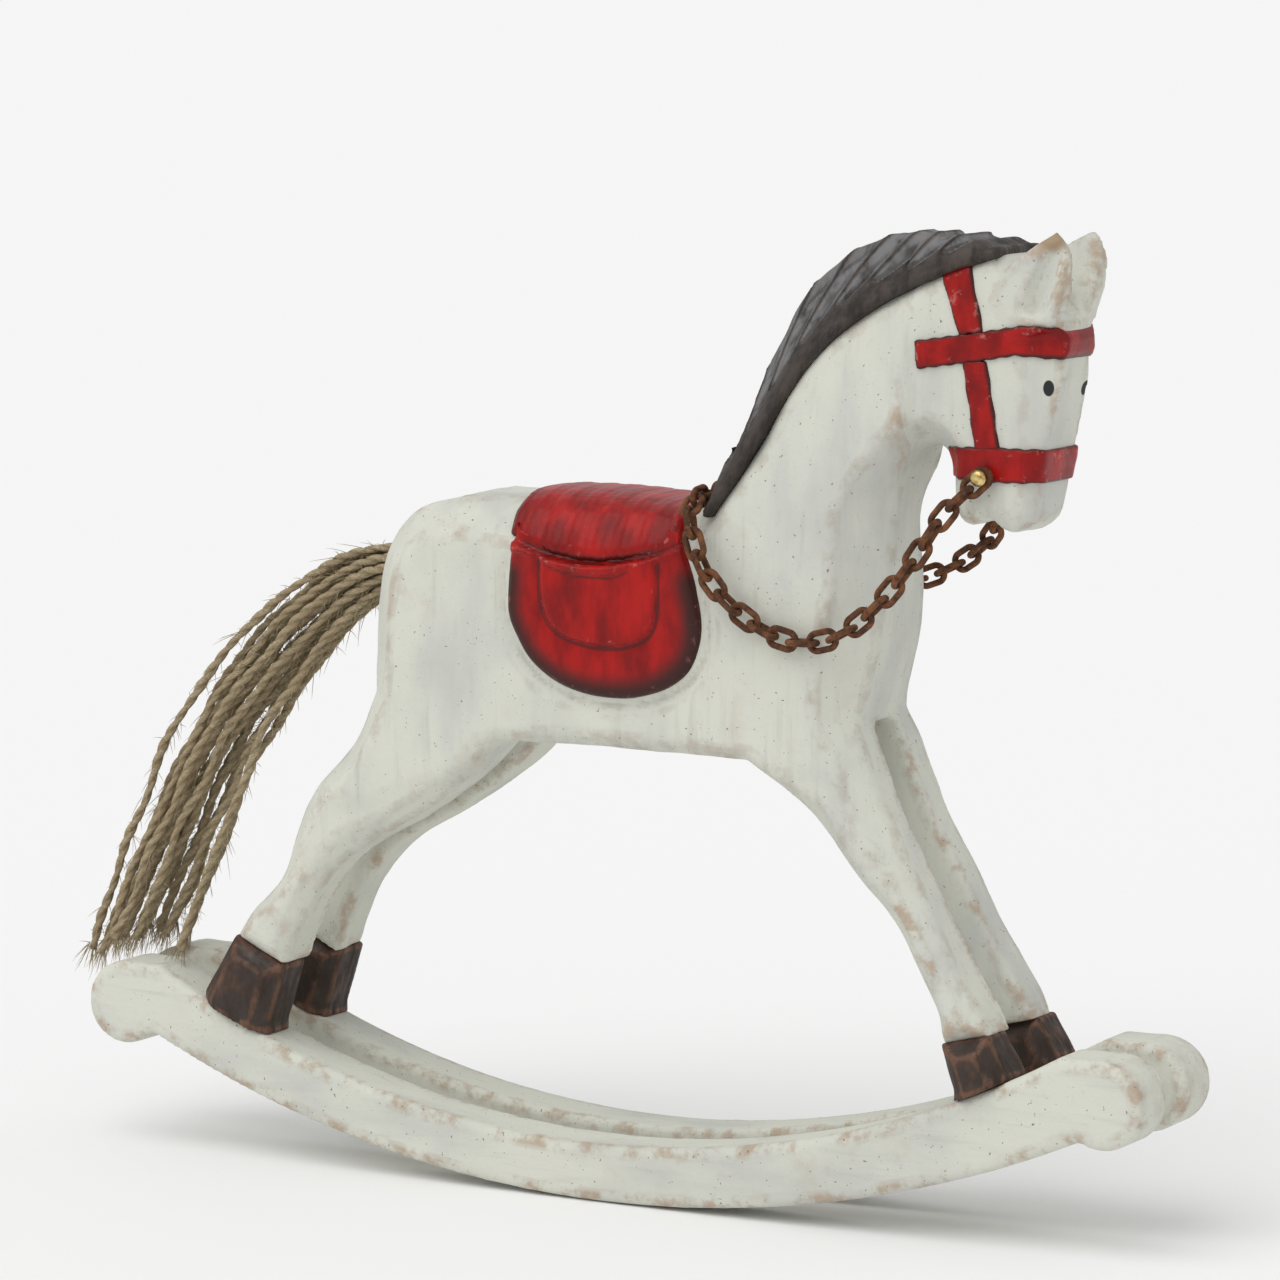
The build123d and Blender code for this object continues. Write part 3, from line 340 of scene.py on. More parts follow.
def fibres(roots, ways):
    """Loose hairs: each a three-sided spine, root + way t + bend t^2, that tapers to its tip."""
    step = np.linspace(0, 1, len(HAIR_RADII))[None, :, None]
    bend = np.array([0.0, 0.0, -0.9]) * chance.uniform(0, 1.4, (len(roots), 1))
    spine = roots[:, None] + ways[:, None] * step + bend[:, None] * step**2
    radius = np.array(HAIR_RADII)[None, :, None]
    corner = np.linspace(0, 2 * np.pi, 3, endpoint=False)
    length = np.linalg.norm(ways, axis=1, keepdims=True)
    first = np.cross(ways / length, [0.3, 0.8, 0.5])
    first /= np.linalg.norm(first, axis=1, keepdims=True)
    second = np.cross(ways / length, first)
    ring = (np.cos(corner)[None, None, :, None] * first[:, None, None]
            + np.sin(corner)[None, None, :, None] * second[:, None, None])
    points = spine[:, :, None] + ring * radius[..., None]
    number = np.arange(len(roots) * 12).reshape(len(roots), 4, 3)
    ends = np.concatenate([number[:, 0, ::-1], number[:, -1]])
    return points.reshape(-1, 3), walls(number) + ends.tolist()


points, faces = fibres(np.concatenate(fibre_roots), np.concatenate(fibre_ways))
plant("tail_loose_fibres", points, faces, jute, "tail_twine")

# ---------------------------------------------------------------- carved horse
# One plank sawn to the side view, then knife-cut: flanks flat, every long edge pared to a slanted
# facet, neck and head narrowed, slots sawn between the legs. Whitewashed, sanded through at edges.
HALF_BLOCK, HALF_LEG_GAP, BACK_HEIGHT = 17.5, 4.5, 136.8
BEVEL = 0.7071                # cosine of the facets' 45 degrees
BODY_CELL = 0.78
WITHERS = (27, BACK_HEIGHT)
CREST = [WITHERS, (31, 142.5), (38, 154.6), (44, 164.2), (50.5, 171.4), (60, 178.2), (73, 183.8), (83, 187)]
POLL = [(83, 187), (87.5, 183.5), (92, 178), (96, 174)]
FACE = [(96, 174), (95.6, 164), (92.4, 150), (91.2, 141)]
NOSE = [(91.2, 141), (90, 137.2), (86.4, 134.8), (83, 135.6), (80.4, 137.4)]
CHIN = [(80.4, 137.4), (77.2, 135.8), (74.8, 137.6), (73.8, 142)]
THROAT = [(73.8, 142), (72.6, 147.5), (69.2, 150.6), (65.4, 149.2), (62.8, 144)]
CHEST = [(62.8, 144), (61, 136), (60.6, 126), (59, 112), (55.6, 98)]
FRONT_LEG_FRONT = [(55.6, 98), (62, 82), (70.8, 66), (78.4, 52), (83, 45), (85.2, 40.4)]
FRONT_LEG_REAR = [(76.4, 38.2), (74, 46), (66, 59), (57, 69), (45, 82.4), (34.6, 89.4)]
BELLY = [(34.6, 89.4), (2, 90), (-20.5, 89.6)]
REAR_LEG_FRONT = [(-20.5, 89.6), (-31, 79.6), (-43, 71.6), (-55.4, 64.6), (-64, 55.6), (-69, 47), (-71.2, 40.6)]
REAR_LEG_REAR = [(-82.2, 45.4), (-78.4, 51.2), (-72, 58.6), (-69, 67), (-64.6, 76), (-55, 87), (-50, 97)]
RUMP = [(-50, 97), (-51, 107), (-50.2, 118), (-47.6, 126.6), (-41.6, 133.4), (-31, BACK_HEIGHT)]
FLAP_EDGE = [(-15.2, 134), (-17, 118), (-14.4, 109.5), (-8.4, 103.2), (1, 100), (11, 100),
             (19.6, 103), (24.6, 108.5), (25.6, 117), (21.4, 134)]
# the wood narrows up the neck from its foot, and the head has its own width at the muzzle
NECK_FOOT, NECK_UP, NECK_TAPER = (24, 141), (0.607, 0.795), 0.16
MUZZLE_Z, MUZZLE_HALF_WIDTH, HEAD_FLARE = 135, 8.5, 0.03
# the face's flat, cut square to the muzzle and slanting back from the cheeks: x, y and their shares
BROW_CUT_X, BROW_CUT_Y, BROW_SHARES, BROW_LENGTH = 86.5, 10.6, (5.0, 9.5), 10.74
NOSE_NOTCH, NOSE_NOTCH_RADIUS = (80.6, 135.2), 2.0
EAR_ROOT_Z, EAR_LENGTH, EAR_OFF, EAR_SPREAD, EAR_HALF_THICKNESS = 176, 15, 6.9, 1.3, 3.2
EAR_SCOOP_Z, EAR_SCOOP_RADIUS = 182, 3.0
# how deep the slanted facet is cut near each place of the side view: (x, z, depth)
FACET_DEPTHS = [
    (-51, 115, 6.5), (-35, 136, 6.5), (-14, 137, 8.0), (4, 137, 8.6), (19, 137, 8.0), (29, 139, 2.6),
    (45, 165, 2.0), (61, 134, 8.6), (59, 110, 8.0), (68, 151, 5.0), (62, 82, 4.6), (72, 64, 3.6),
    (83, 45, 2.6), (57, 69, 3.2), (74, 46, 2.2), (36, 89, 1.8), (4, 90, 2.0), (-20, 89, 1.8),
    (-43, 72, 3.0), (-62, 57, 3.0), (-70, 44, 2.0), (-54, 88, 4.6), (-68, 68, 3.8), (-74, 56, 3.2),
    (-81, 47, 2.2), (93, 155, 1.4), (88, 136, 2.4), (76, 137, 2.4), (90, 182, 2.0), (96, 174, 1.6)]


def through(points, steps=9):
    """A smooth line through points: on each run, the cubic whose slopes are the neighbours' chords."""
    place = np.array(points, dtype=float)
    padded = np.concatenate([2 * place[:1] - place[1:2], place, 2 * place[-1:] - place[-2:-1]])
    before, here, there, after = padded[:-3], padded[1:-2], padded[2:-1], padded[3:]
    share = (np.arange(steps) / steps)[None, :, None]
    b, h, t, a = (part[:, None] for part in (before, here, there, after))
    line = 0.5 * (2 * h + (t - b) * share + (2 * b - 5 * h + 4 * t - a) * share**2
                  + (3 * h - b - 3 * t + a) * share**3)
    return np.concatenate([line.reshape(-1, 2), place[-1:]])


def from_line(line, x, z):
    """Distance from each place of the side view to the nearest run of a line, how far along the
    line that is, and which side it is on (positive to the left of the line's way)."""
    start, way = line[:-1], np.diff(line, axis=0)
    length = np.maximum(np.linalg.norm(way, axis=1), 1e-9)
    dx, dz = x[..., None] - start[:, 0], z[..., None] - start[:, 1]
    share = np.clip((dx * way[:, 0] + dz * way[:, 1]) / length**2, 0, 1)
    gap = np.hypot(dx - share * way[:, 0], dz - share * way[:, 1])
    nearest = gap.argmin(-1)
    pick = np.expand_dims(nearest, -1)
    cross = np.take_along_axis(way[:, 0] * dz - way[:, 1] * dx, pick, -1)[..., 0]
    along = np.cumsum(length)[nearest] - length[nearest] * (1 - np.take_along_axis(share, pick, -1)[..., 0])
    return np.take_along_axis(gap, pick, -1)[..., 0], along, np.sign(cross)


def from_outline(line, x, z):
    """Distance outside a closed outline of the side view, negative inside it."""
    loop = np.concatenate([line, line[:1]])
    a, b = loop[:-1], loop[1:]
    above = (a[:, 1] > z[..., None]) != (b[:, 1] > z[..., None])
    rise = np.where(b[:, 1] == a[:, 1], 1e-9, b[:, 1] - a[:, 1])
    crossing = a[:, 0] + (z[..., None] - a[:, 1]) * (b[:, 0] - a[:, 0]) / rise
    inside = (above & (x[..., None] < crossing)).sum(-1) % 2 == 1
    return np.where(inside, -1, 1) * from_line(loop, x, z)[0]


def outside(line, x, z):
    """Distance outside an outline, worked out once on the grid's XZ plane and shared by every Y."""
    return from_outline(line, *np.broadcast_arrays(x[:, 0, :], z[:, 0, :]))[:, None, :]


def soft_max(a, b, blend):
    """The larger of two values, rounded over where they are within blend of each other."""
    near = np.maximum(blend - np.abs(a - b), 0) / blend
    return np.maximum(a, b) + near**2 * blend / 4


def knife_marks(x, y, z, size, depth):
    """Uneven paring: three crossed waves of about one size, of at most the given depth."""
    k = 2 * np.pi / size
    return depth / 3 * (np.sin(k * (x + 0.3 * z) + 1.7) * np.sin(0.7 * k * y + 0.4)
                        + np.sin(k * (0.8 * z - 0.4 * x + 0.3 * y) + 0.9)
                        + np.sin(k * (0.37 * x + 0.51 * z - 0.77 * y) + 2.6))


def blurred(values, reach):
    """Mean over a cube of cells, along one axis at a time by running sums."""
    for axis in range(3):
        width = 2 * reach + 1
        pad = [(0, 0)] * 3
        pad[axis] = (reach + 1, reach)
        total = np.cumsum(np.pad(values, pad, mode="edge"), axis=axis)
        upper = np.take(total, range(width, total.shape[axis]), axis)
        lower = np.take(total, range(total.shape[axis] - width), axis)
        values = (upper - lower) / width
    return values


CORNERS = np.array([(i, j, k) for i in (0, 1) for j in (0, 1) for k in (0, 1)])


def carve(field, low, high, cell):
    """Closed surface where a field of depths is zero: one point in each cell that the surface crosses,
    at the mean of the crossings on the cell's edges, and one quad round each crossed grid edge.
    Also each point's sharpness: how far the blurred field stands above the surface."""
    axes = [np.arange(a - 2 * cell, b + 3 * cell, cell) for a, b in zip(low, high)]
    x, y, z = np.meshgrid(*axes, indexing="ij", sparse=True)
    depth = np.ascontiguousarray(np.broadcast_to(field(x, y, z), [len(a) for a in axes])).astype(np.float32)
    inside = depth < 0
    cells = tuple(n - 1 for n in depth.shape)
    count = sum(inside[i:i + cells[0], j:j + cells[1], k:k + cells[2]].astype(np.int8) for i, j, k in CORNERS)
    active = np.argwhere((count > 0) & (count < 8))
    number = np.full(cells, -1, dtype=np.int64)
    number[tuple(active.T)] = np.arange(len(active))
    total, hits = np.zeros((len(active), 3)), np.zeros(len(active))
    for axis in range(3):
        for corner in CORNERS[CORNERS[:, axis] == 0]:
            a_at, b_at = active + corner, active + corner
            b_at[:, axis] += 1
            a, b = depth[tuple(a_at.T)], depth[tuple(b_at.T)]
            crossed = (a < 0) != (b < 0)
            share = np.where(crossed, a / np.where(crossed, a - b, 1), 0)
            place = np.tile(corner.astype(float), (len(active), 1))
            place[:, axis] += share
            total += place * crossed[:, None]
            hits += crossed
    points = np.array([axis[0] for axis in axes]) + (active + total / hits[:, None]) * cell
    faces = []
    for axis in range(3):
        other = [n for n in range(3) if n != axis]
        a = inside[tuple(slice(None, -1) if n == axis else slice(1, -1) for n in range(3))]
        b = inside[tuple(slice(1, None) if n == axis else slice(1, -1) for n in range(3))]
        edge = np.argwhere(a != b)
        edge[:, other] += 1
        outward = a[a != b]
        around = []
        for first, second in ((1, 1), (0, 1), (0, 0), (1, 0)):
            at = edge.copy()
            at[:, other[0]] -= first
            at[:, other[1]] -= second
            around.append(number[tuple(at.T)])
        quad = np.stack(around, -1)
        flip = outward if axis != 1 else ~outward
        quad[~flip] = quad[~flip][:, ::-1]
        faces.append(quad)
    lifted = blurred(depth, 2) - depth
    sharp = sum(lifted[tuple((active + corner).T)] for corner in CORNERS) / 8 / cell
    return points, np.concatenate(faces), sharp


def carved_piece(name, field, low, high, cell, material, slot, *nodes):
    """A carved surface planted on the horse, with its sharpness marked for the paint."""
    points, faces, sharp = carve(field, low, high, cell)
    piece = plant(name, points, faces.tolist(), material, slot, *nodes)
    mark(piece, "sharp", sharp)
    return piece


def both_sides(name, field, low, high, cell, material, slot, node):
    """A piece of the near side, and the same mirrored through y = 0."""
    near = carved_piece("near_" + name, field, low, high, cell, material, slot, "near_" + node)
    far = carved_piece("far_" + name, lambda x, y, z: field(x, -y, z), (low[0], -high[1], low[2]),
                       (high[0], -low[1], high[2]), cell, material, slot, "far_" + node)
    return near, far


horse_line = np.concatenate([
    np.array([RUMP[-1]], float), through(CREST), through(POLL), np.array(FACE, float), through(NOSE),
    through(CHIN), through(THROAT), through(CHEST), through(FRONT_LEG_FRONT), through(FRONT_LEG_REAR),
    np.array(BELLY, float), through(REAR_LEG_FRONT), through(REAR_LEG_REAR), through(RUMP)])
flap_line = through(FLAP_EDGE)


def half_width(x, z):
    """Half the wood's thickness: the plank's, closing slowly up the neck, and the head's own."""
    up_neck = NECK_UP[0] * (x - NECK_FOOT[0]) + NECK_UP[1] * (z - NECK_FOOT[1])
    neck = HALF_BLOCK - NECK_TAPER * np.maximum(up_neck, 0)
    head = MUZZLE_HALF_WIDTH + HEAD_FLARE * (z - MUZZLE_Z)
    return neck + (head - neck) * soft_step(x, 63.5, 67.5) * soft_step(z, 128, 136)


def facet_depth(x, z):
    """Depth of the slanted facet: the listed depths, averaged by one over distance to the fourth."""
    weight = [1 / ((x - px)**2 + (z - pz)**2 + 12)**2 for px, pz, _ in FACET_DEPTHS]
    return sum(w * depth for w, (_, _, depth) in zip(weight, FACET_DEPTHS)) / sum(weight)


FRONT_SLOT = np.array([(36, 30), (36, 84), (50, 96.5), (66, 96.5), (95, 60), (95, 30)], float)
REAR_SLOT = np.array([(-95, 30), (-95, 60), (-66, 70), (-50, 82), (-24, 89), (-10, 95), (-10, 30)], float)


def wood(x, y, z):
    """The carved block: the deepest of the side view, the flanks, the slanted facets and the slots.
    The flanks are cut in a little round the flaps and below the belly line."""
    side = outside(horse_line, x, z)
    off = np.abs(y)
    width = half_width(x, z)
    rim = outside(flap_line, x, z)
    width = width - 0.8 * np.exp(-((rim - 1.4) / 1.35)**2) * soft_step(126 - z, -3, 3)
    width = width - 0.7 * soft_step(78 + 9 * np.exp(-((x - 44) / 16)**2) + 3 * np.sin(x / 7) - z, -2, 3)
    flank = off - width
    body = soft_max(side - 0.25, flank, 0.7)
    body = soft_max(body, (side + flank + facet_depth(x, z)) * BEVEL, 0.9)
    brow = (BROW_SHARES[0] * (x - BROW_CUT_X) + BROW_SHARES[1] * (off - BROW_CUT_Y)) / BROW_LENGTH
    body = soft_max(body, brow - 3 * soft_step(z, 171, 176) - 3 * soft_step(137 - z, 0, 4), 0.6)
    for slot_line in (FRONT_SLOT, REAR_SLOT):
        slot_side = outside(slot_line, x, z)
        body = soft_max(body, -soft_max(slot_side, off - HALF_LEG_GAP, 2.0), 1.2)
    # the nose is notched into two lobes
    notch = np.hypot(x - NOSE_NOTCH[0], z - NOSE_NOTCH[1]) - NOSE_NOTCH_RADIUS
    body = soft_max(body, -notch, 1.0)
    # ears: leaves standing on the poll, hollowed in front
    ear = outside(ear_line, x, z)
    share = np.clip((z - EAR_ROOT_Z) / EAR_LENGTH, 0, 1)
    leaf = np.abs(off - (EAR_OFF + EAR_SPREAD * share)) - EAR_HALF_THICKNESS * (1 - 0.72 * share**2)
    leaf = soft_max(ear, leaf, 1.4)
    body = -soft_max(-body, -leaf, 1.0)
    scoop_x, scoop_off = 91.6 + 0.42 * (z - 177), 11.3 - 0.05 * (z - 177)
    beyond = 1.1 * np.maximum(np.abs(z - EAR_SCOOP_Z) - 4.6, 0)
    scoop = np.hypot(np.hypot(x - scoop_x, off - scoop_off), beyond) - EAR_SCOOP_RADIUS
    body = soft_max(body, -scoop, 0.5)
    return body + knife_marks(x, y, z, 17.0, 0.22) + knife_marks(z, x, y, 6.0, 0.07)


ear_line = np.concatenate([through([(83, 182), (88.4, 186.6), (95.4, 190.9)]),
                           through([(95.4, 190.9), (97.6, 187.6), (97.4, 181), (95.6, 174)]),
                           np.array([(88, 172), (82, 178)], float)])


CHALK, THIN_CHALK, GRAIN_GREY = (0.665, 0.672, 0.59, 1), (0.55, 0.56, 0.515, 1), (0.40, 0.39, 0.36, 1)
MOTTLE_GREY, TAN_STAIN, WASH_CREASE_SHADE = (0.42, 0.38, 0.31, 1), (0.47, 0.36, 0.25, 1), (0.27, 0.235, 0.20, 1)
ARRIS_GREY, BARE_WOOD, SPECK = (0.40, 0.34, 0.28, 1), (0.42, 0.285, 0.18, 1), (0.16, 0.11, 0.08, 1)


def whitewash(name, grain_axis):
    """Chalky off-white paint, thin over the grain: grey smudges along it, warm wood showing where edges
    are rubbed, painted shade in the hollow creases, fine dark specks and a few orange stains."""
    material, tree, shader = finish_of(name, 0.72, Specular_IOR_Level=0.35)
    where = place_on(tree)
    stretch = tuple(0.09 if axis == grain_axis else 1.0 for axis in "XYZ")
    grain = noise(tree, where, 420.0, 6.0, 0.6, stretch)
    smudge = noise(tree, where, 62.0, 4.0, 0.55, tuple(0.4 if axis == grain_axis else 1.0 for axis in "XYZ"))
    mottle = noise(tree, where, 900.0, 5.0, 0.7)
    speck = noise(tree, where, 1500.0, 1.0, 0.4)
    stain = noise(tree, where, 130.0, 3.0, 0.6)
    patch = noise(tree, where, 24.0, 2.0, 0.5)
    sharp = marked(tree, "sharp")
    wear_and_shade_noise = noise(tree, where, 210.0, 5.0, 0.65)
    colour = tint(tree, between(tree, smudge, 0.4, 0.72), CHALK, THIN_CHALK)
    colour = wash(tree, colour, GRAIN_GREY, 0.4, grain, 0.52, 0.8)
    colour = wash(tree, colour, MOTTLE_GREY, 0.3, mottle, 0.56, 0.8)
    tan_area = times(tree, between(tree, patch, 0.5, 0.7), between(tree, stain, 0.5, 0.8))
    colour = tint(tree, times(tree, tan_area, 0.38), colour, TAN_STAIN)
    # painted shade: the hollow creases darkened to grey-brown, broken up by a noise
    crease_shade = times(tree, between(tree, sharp, -0.10, -0.42), between(tree, wear_and_shade_noise, 0.3, 0.62))
    colour = tint(tree, times(tree, crease_shade, 0.45), colour, WASH_CREASE_SHADE)
    arris = times(tree, between(tree, sharp, 0.045, 0.13), between(tree, wear_and_shade_noise, 0.40, 0.62))
    colour = tint(tree, times(tree, arris, 0.30), colour, ARRIS_GREY)
    rubbed = times(tree, between(tree, sharp, 0.12, 0.36), between(tree, wear_and_shade_noise, 0.47, 0.66))
    colour = tint(tree, times(tree, rubbed, 0.62), colour, BARE_WOOD)
    colour = wash(tree, colour, SPECK, 0.8, speck, 0.735, 0.78)
    rough_up(tree, shader, plus(tree, times(tree, grain, 0.8), mottle), 0.00016, 0.8)
    return material, tree, shader, colour


body_paint, tree, shader, colour = whitewash("whitewashed_body", "Z")
place = place_on(tree)
# the near ear is worn to the wood at its tip
EAR_TIP, WORN_TIP, EAR_WOOD = (94.6, -8.4, 190.6), (4.2, 2.2), (0.34, 0.22, 0.115, 1)
tip = [v * MM for v in EAR_TIP]
from_tip = add(tree, "VectorMath", {0: place, 1: tip}, operation="DISTANCE").outputs["Value"]
worn_tip = between(tree, from_tip, WORN_TIP[0] * MM, WORN_TIP[1] * MM)
colour = tint(tree, times(tree, worn_tip, 0.85), colour, EAR_WOOD)
# painted eyes: a small dark oval each side of the face
EYES, EYE_RADII = ((93.4, -6.9, 162.0), (95.4, 5.0, 161.4)), (0.95, 1.5, 1.5)
EYE_BLACK = (0.02, 0.025, 0.022, 1)
for eye in EYES:
    centre, radii = [v * MM for v in eye], [r * MM for r in EYE_RADII]
    offset = add(tree, "VectorMath", {0: place, 1: centre}, operation="SUBTRACT").outputs["Vector"]
    scaled = add(tree, "VectorMath", {0: offset, 1: radii}, operation="DIVIDE").outputs["Vector"]
    reach = add(tree, "VectorMath", {0: scaled}, operation="LENGTH").outputs["Value"]
    colour = tint(tree, between(tree, reach, 1.08, 0.92), colour, EYE_BLACK)
coat(tree, shader, colour)
carved_piece("horse_carving", wood, (-84, -17.6, 38), (99, 17.6, 192), BODY_CELL, body_paint,
             "whitewashed_wood", "horse_body")

# ---------------------------------------------------------------- rails
# Two planks 12.5 mm thick, band-sawn to the rocking arc, each end turned up in a round lobe.
# The same whitewash, with the grain along the rail.
RAIL_LOW_X, RAIL_BOTTOM_RADIUS, RAIL_TOP_RADIUS, RAIL_DEPTH = 3.0, 245.0, 205.0, 11.5
LOBE_X, LOBE_HEIGHT, LOBE_RADIUS = 109.5, 29.5, 8.5
RAIL_INSIDE, RAIL_OUTSIDE = 4.0, 16.5


def near_rail(x, y, z):
    """Between the two arcs and short of the lobes' height, joined to the two round lobes."""
    under = np.hypot(x - RAIL_LOW_X, z - RAIL_BOTTOM_RADIUS) - RAIL_BOTTOM_RADIUS
    over = RAIL_TOP_RADIUS - np.hypot(x, z - RAIL_DEPTH - RAIL_TOP_RADIUS)
    arc = np.maximum(np.maximum(under, over), np.maximum(np.abs(x) - LOBE_X, z - LOBE_HEIGHT - LOBE_RADIUS))
    lobes = np.minimum(np.hypot(x - LOBE_X, z - LOBE_HEIGHT), np.hypot(x + LOBE_X, z - LOBE_HEIGHT))
    lobes = lobes - LOBE_RADIUS
    side = -soft_max(-arc, -lobes, 0.8)
    thickness = np.abs(y + (RAIL_INSIDE + RAIL_OUTSIDE) / 2) - (RAIL_OUTSIDE - RAIL_INSIDE) / 2
    rail = soft_max(soft_max(side, thickness, 0.8), (side + thickness + 0.7) * BEVEL, 0.4)
    return rail + 0.05 + knife_marks(x, y, z, 23.0, 0.05)


rail_paint, tree, shader, colour = whitewash("whitewashed_rails", "X")
coat(tree, shader, colour)
RAIL_CELL, RAIL_END_X, RAIL_TOP_Z = 0.8, LOBE_X + LOBE_RADIUS, LOBE_HEIGHT + LOBE_RADIUS
both_sides("rocker_rail", near_rail, (-RAIL_END_X, -RAIL_OUTSIDE, 0), (RAIL_END_X, -RAIL_INSIDE, RAIL_TOP_Z),
           RAIL_CELL, rail_paint, "whitewashed_rails", "rocker")

# ---------------------------------------------------------------- dowels and tail peg
# Bare beech, hidden in their holes: four dowels through the hooves and a peg that jams the tail.
bare_wood, tree, shader = finish_of("bare_beech", 0.6)
where = place_on(tree)
fibre = noise(tree, where, 700.0, 4.0, 0.6, (1, 1, 0.08))
BEECH_LIGHT, BEECH_DARK = (0.66, 0.47, 0.29, 1), (0.42, 0.27, 0.15, 1)
colour = tint(tree, between(tree, fibre, 0.35, 0.7), BEECH_LIGHT, BEECH_DARK)
coat(tree, shader, colour)
rough_up(tree, shader, fibre, 0.0001)


def dress(node, material):
    """Gives a built node its finish and leaves its shape alone."""
    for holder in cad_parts[node].material_slots:
        holder.material = material


dress("rocker_dowels", bare_wood)
dress("tail_peg", bare_wood)

# ---------------------------------------------------------------- mane
# A hump left along the crest, gouged into eleven slanting locks over a plain lower band.
# Painted brown-black; the gouged faces a lighter grey, partly dull bloom and partly painted highlight.
MANE_TOP = [WITHERS, (29, 150), (34.6, 167), (40, 177), (48, 184.6), (57, 189), (66, 190.4), (76, 190.2),
            (83, 187)]
MANE_CREST_Y, MANE_PROUD = 4.6, 1.2
LOCK_PITCH, LOCK_LEAN, LOCK_START, LOW_BAND = 8.6, 2.1, 2.5, 1.2
FLUTE_DEPTH, FLUTE_FADE, MANE_RISE = 1.35, 0.8, 9.5
crest_line, mane_line = through(CREST), np.concatenate([through(MANE_TOP), through(CREST)[::-1]])


def mane_field(x, y, z):
    """A ridge whose half width falls from the neck's to the crest's over the height of the band,
    with round-ended flutes that lean along the crest."""
    plane = np.broadcast_arrays(x[:, 0, :], z[:, 0, :])
    height, along, left = (part[:, None, :] for part in from_line(crest_line, *plane))
    outline = outside(mane_line, x, z)
    # a low band spreads round the crest line on its other side as well
    outline = -soft_max(0.4 - outline, LOW_BAND - height, 0.5)
    height = np.where(left > 0, height, -height)
    base = half_width(x, z) + MANE_PROUD
    slope = np.clip(height / MANE_RISE, 0, 1)
    width = base + (MANE_CREST_Y - base) * slope**1.25
    ridge = soft_max(outline, np.abs(y) - width, 1.6)
    cut = FLUTE_DEPTH - FLUTE_FADE * soft_step(height, 6, 9)
    return ridge + cut * flutes(height, along) + knife_marks(x, y, z, 5.0, 0.10)


def flutes(height, along):
    """Depth share of the gouged flutes: round across, and round at their lower ends."""
    phase = (along - LOCK_LEAN * height) / LOCK_PITCH
    turn = 2 * (phase - np.floor(phase) - 0.5)
    start = LOCK_START + 1.6 * turn**2 + 0.5 * np.sin(5.1 * np.floor(phase))
    return np.sqrt(np.clip(1 - turn**2, 0, 1)) * soft_step(height, start, start + 0.7)


def dark_paint(name, deep, bloom, warm, warm_share):
    """Brown-black paint, a lighter grey on the gouged faces (partly a dull bloom, partly a painted highlight),
    a warm stain in patches, the warm colour on what stands out, by warm_share, and painted shade in creases."""
    material, tree, shader = finish_of(name, 0.42, Specular_IOR_Level=0.5)
    where = place_on(tree)
    streak = noise(tree, where, 500.0, 6.0, 0.65, (0.6, 1, 0.25))
    patch = noise(tree, where, 150.0, 4.0, 0.6)
    sharp = marked(tree, "sharp")
    gouged_face = marked(tree, "gouged_face")
    colour = tint(tree, times(tree, between(tree, patch, 0.5, 0.75), 0.35), deep, warm)
    # a lighter grey on the gouged faces: partly a dull bloom of the paint, partly a painted highlight
    bloom_and_highlight = times(tree, between(tree, gouged_face, 0.35, 0.8), between(tree, streak, 0.22, 0.58))
    colour = tint(tree, bloom_and_highlight, colour, bloom)
    raised = times(tree, between(tree, sharp, 0.08, 0.3), between(tree, streak, 0.36, 0.6))
    colour = tint(tree, times(tree, raised, warm_share), colour, warm)
    # painted shade: the creases darkened to the deepest colour
    colour = wash(tree, colour, deep, 0.7, sharp, -0.1, -0.4)
    coat(tree, shader, colour)
    tree.links.new(between(tree, streak, 1.1, 0.1), shader.inputs["Roughness"])
    rough_up(tree, shader, streak, 0.0002)
    return material


# brown-black, a grey for the gouged faces that is partly bloom and partly a painted highlight, a warm brown
MANE_BLACK, MANE_BLOOM_AND_HIGHLIGHT, MANE_BROWN = (0.020, 0.015, 0.012, 1), (0.17, 0.166, 0.168, 1), (0.085, 0.058, 0.043, 1)
mane_paint = dark_paint("mane_paint", MANE_BLACK, MANE_BLOOM_AND_HIGHLIGHT, MANE_BROWN, 0.35)
MANE_CELL = 0.5
mane = carved_piece("mane_locks", mane_field, (24, -19, 132), (86, 19, 192), MANE_CELL, mane_paint,
                    "dark_mane", "mane")


def points_of(piece):
    """A piece's points as three rows, in millimetres."""
    place = np.empty(len(piece.data.vertices) * 3)
    piece.data.vertices.foreach_get("co", place)
    return (place.reshape(-1, 3) / MM).T


x, y, z = points_of(mane)
height, along, _ = from_line(crest_line, x, z)
mark(mane, "gouged_face", flutes(height, along))

# ---------------------------------------------------------------- saddle
# Carved in the same wood: a crowned seat over the back, and on each flank a flap with a raised
# panel. Red gloss over a dark ground that shows at every edge.
SEAT_REAR_X, SEAT_FRONT_X, SEAT_TOP = -17.5, 21.0, BACK_HEIGHT + 3.2
SEAT_EDGE = [(SEAT_FRONT_X, 129.5), (14, 127), (3, 125.4), (-8, 126.6), (SEAT_REAR_X, 130)]
PANEL_EDGE = [(-8.4, 131), (-8.2, 118), (-5, 112.6), (2, 110.4), (10, 110.6), (15.2, 113.4), (16.4, 120),
              (16.2, 131)]
SEAT_PROUD, SEAT_BOTTOM, SEAT_CELL = 2.0, 123.2, 0.55
FLAP_THICKNESS, PANEL_THICKNESS, SKIRT_THICKNESS, UNDER_SEAT = 1.7, 0.7, 0.75, 0.4
GROOVE_DEPTH, FLAP_TUCK, FLAP_SUNK, FLAP_CELL = 0.3, 2.6, 2.0, 0.5
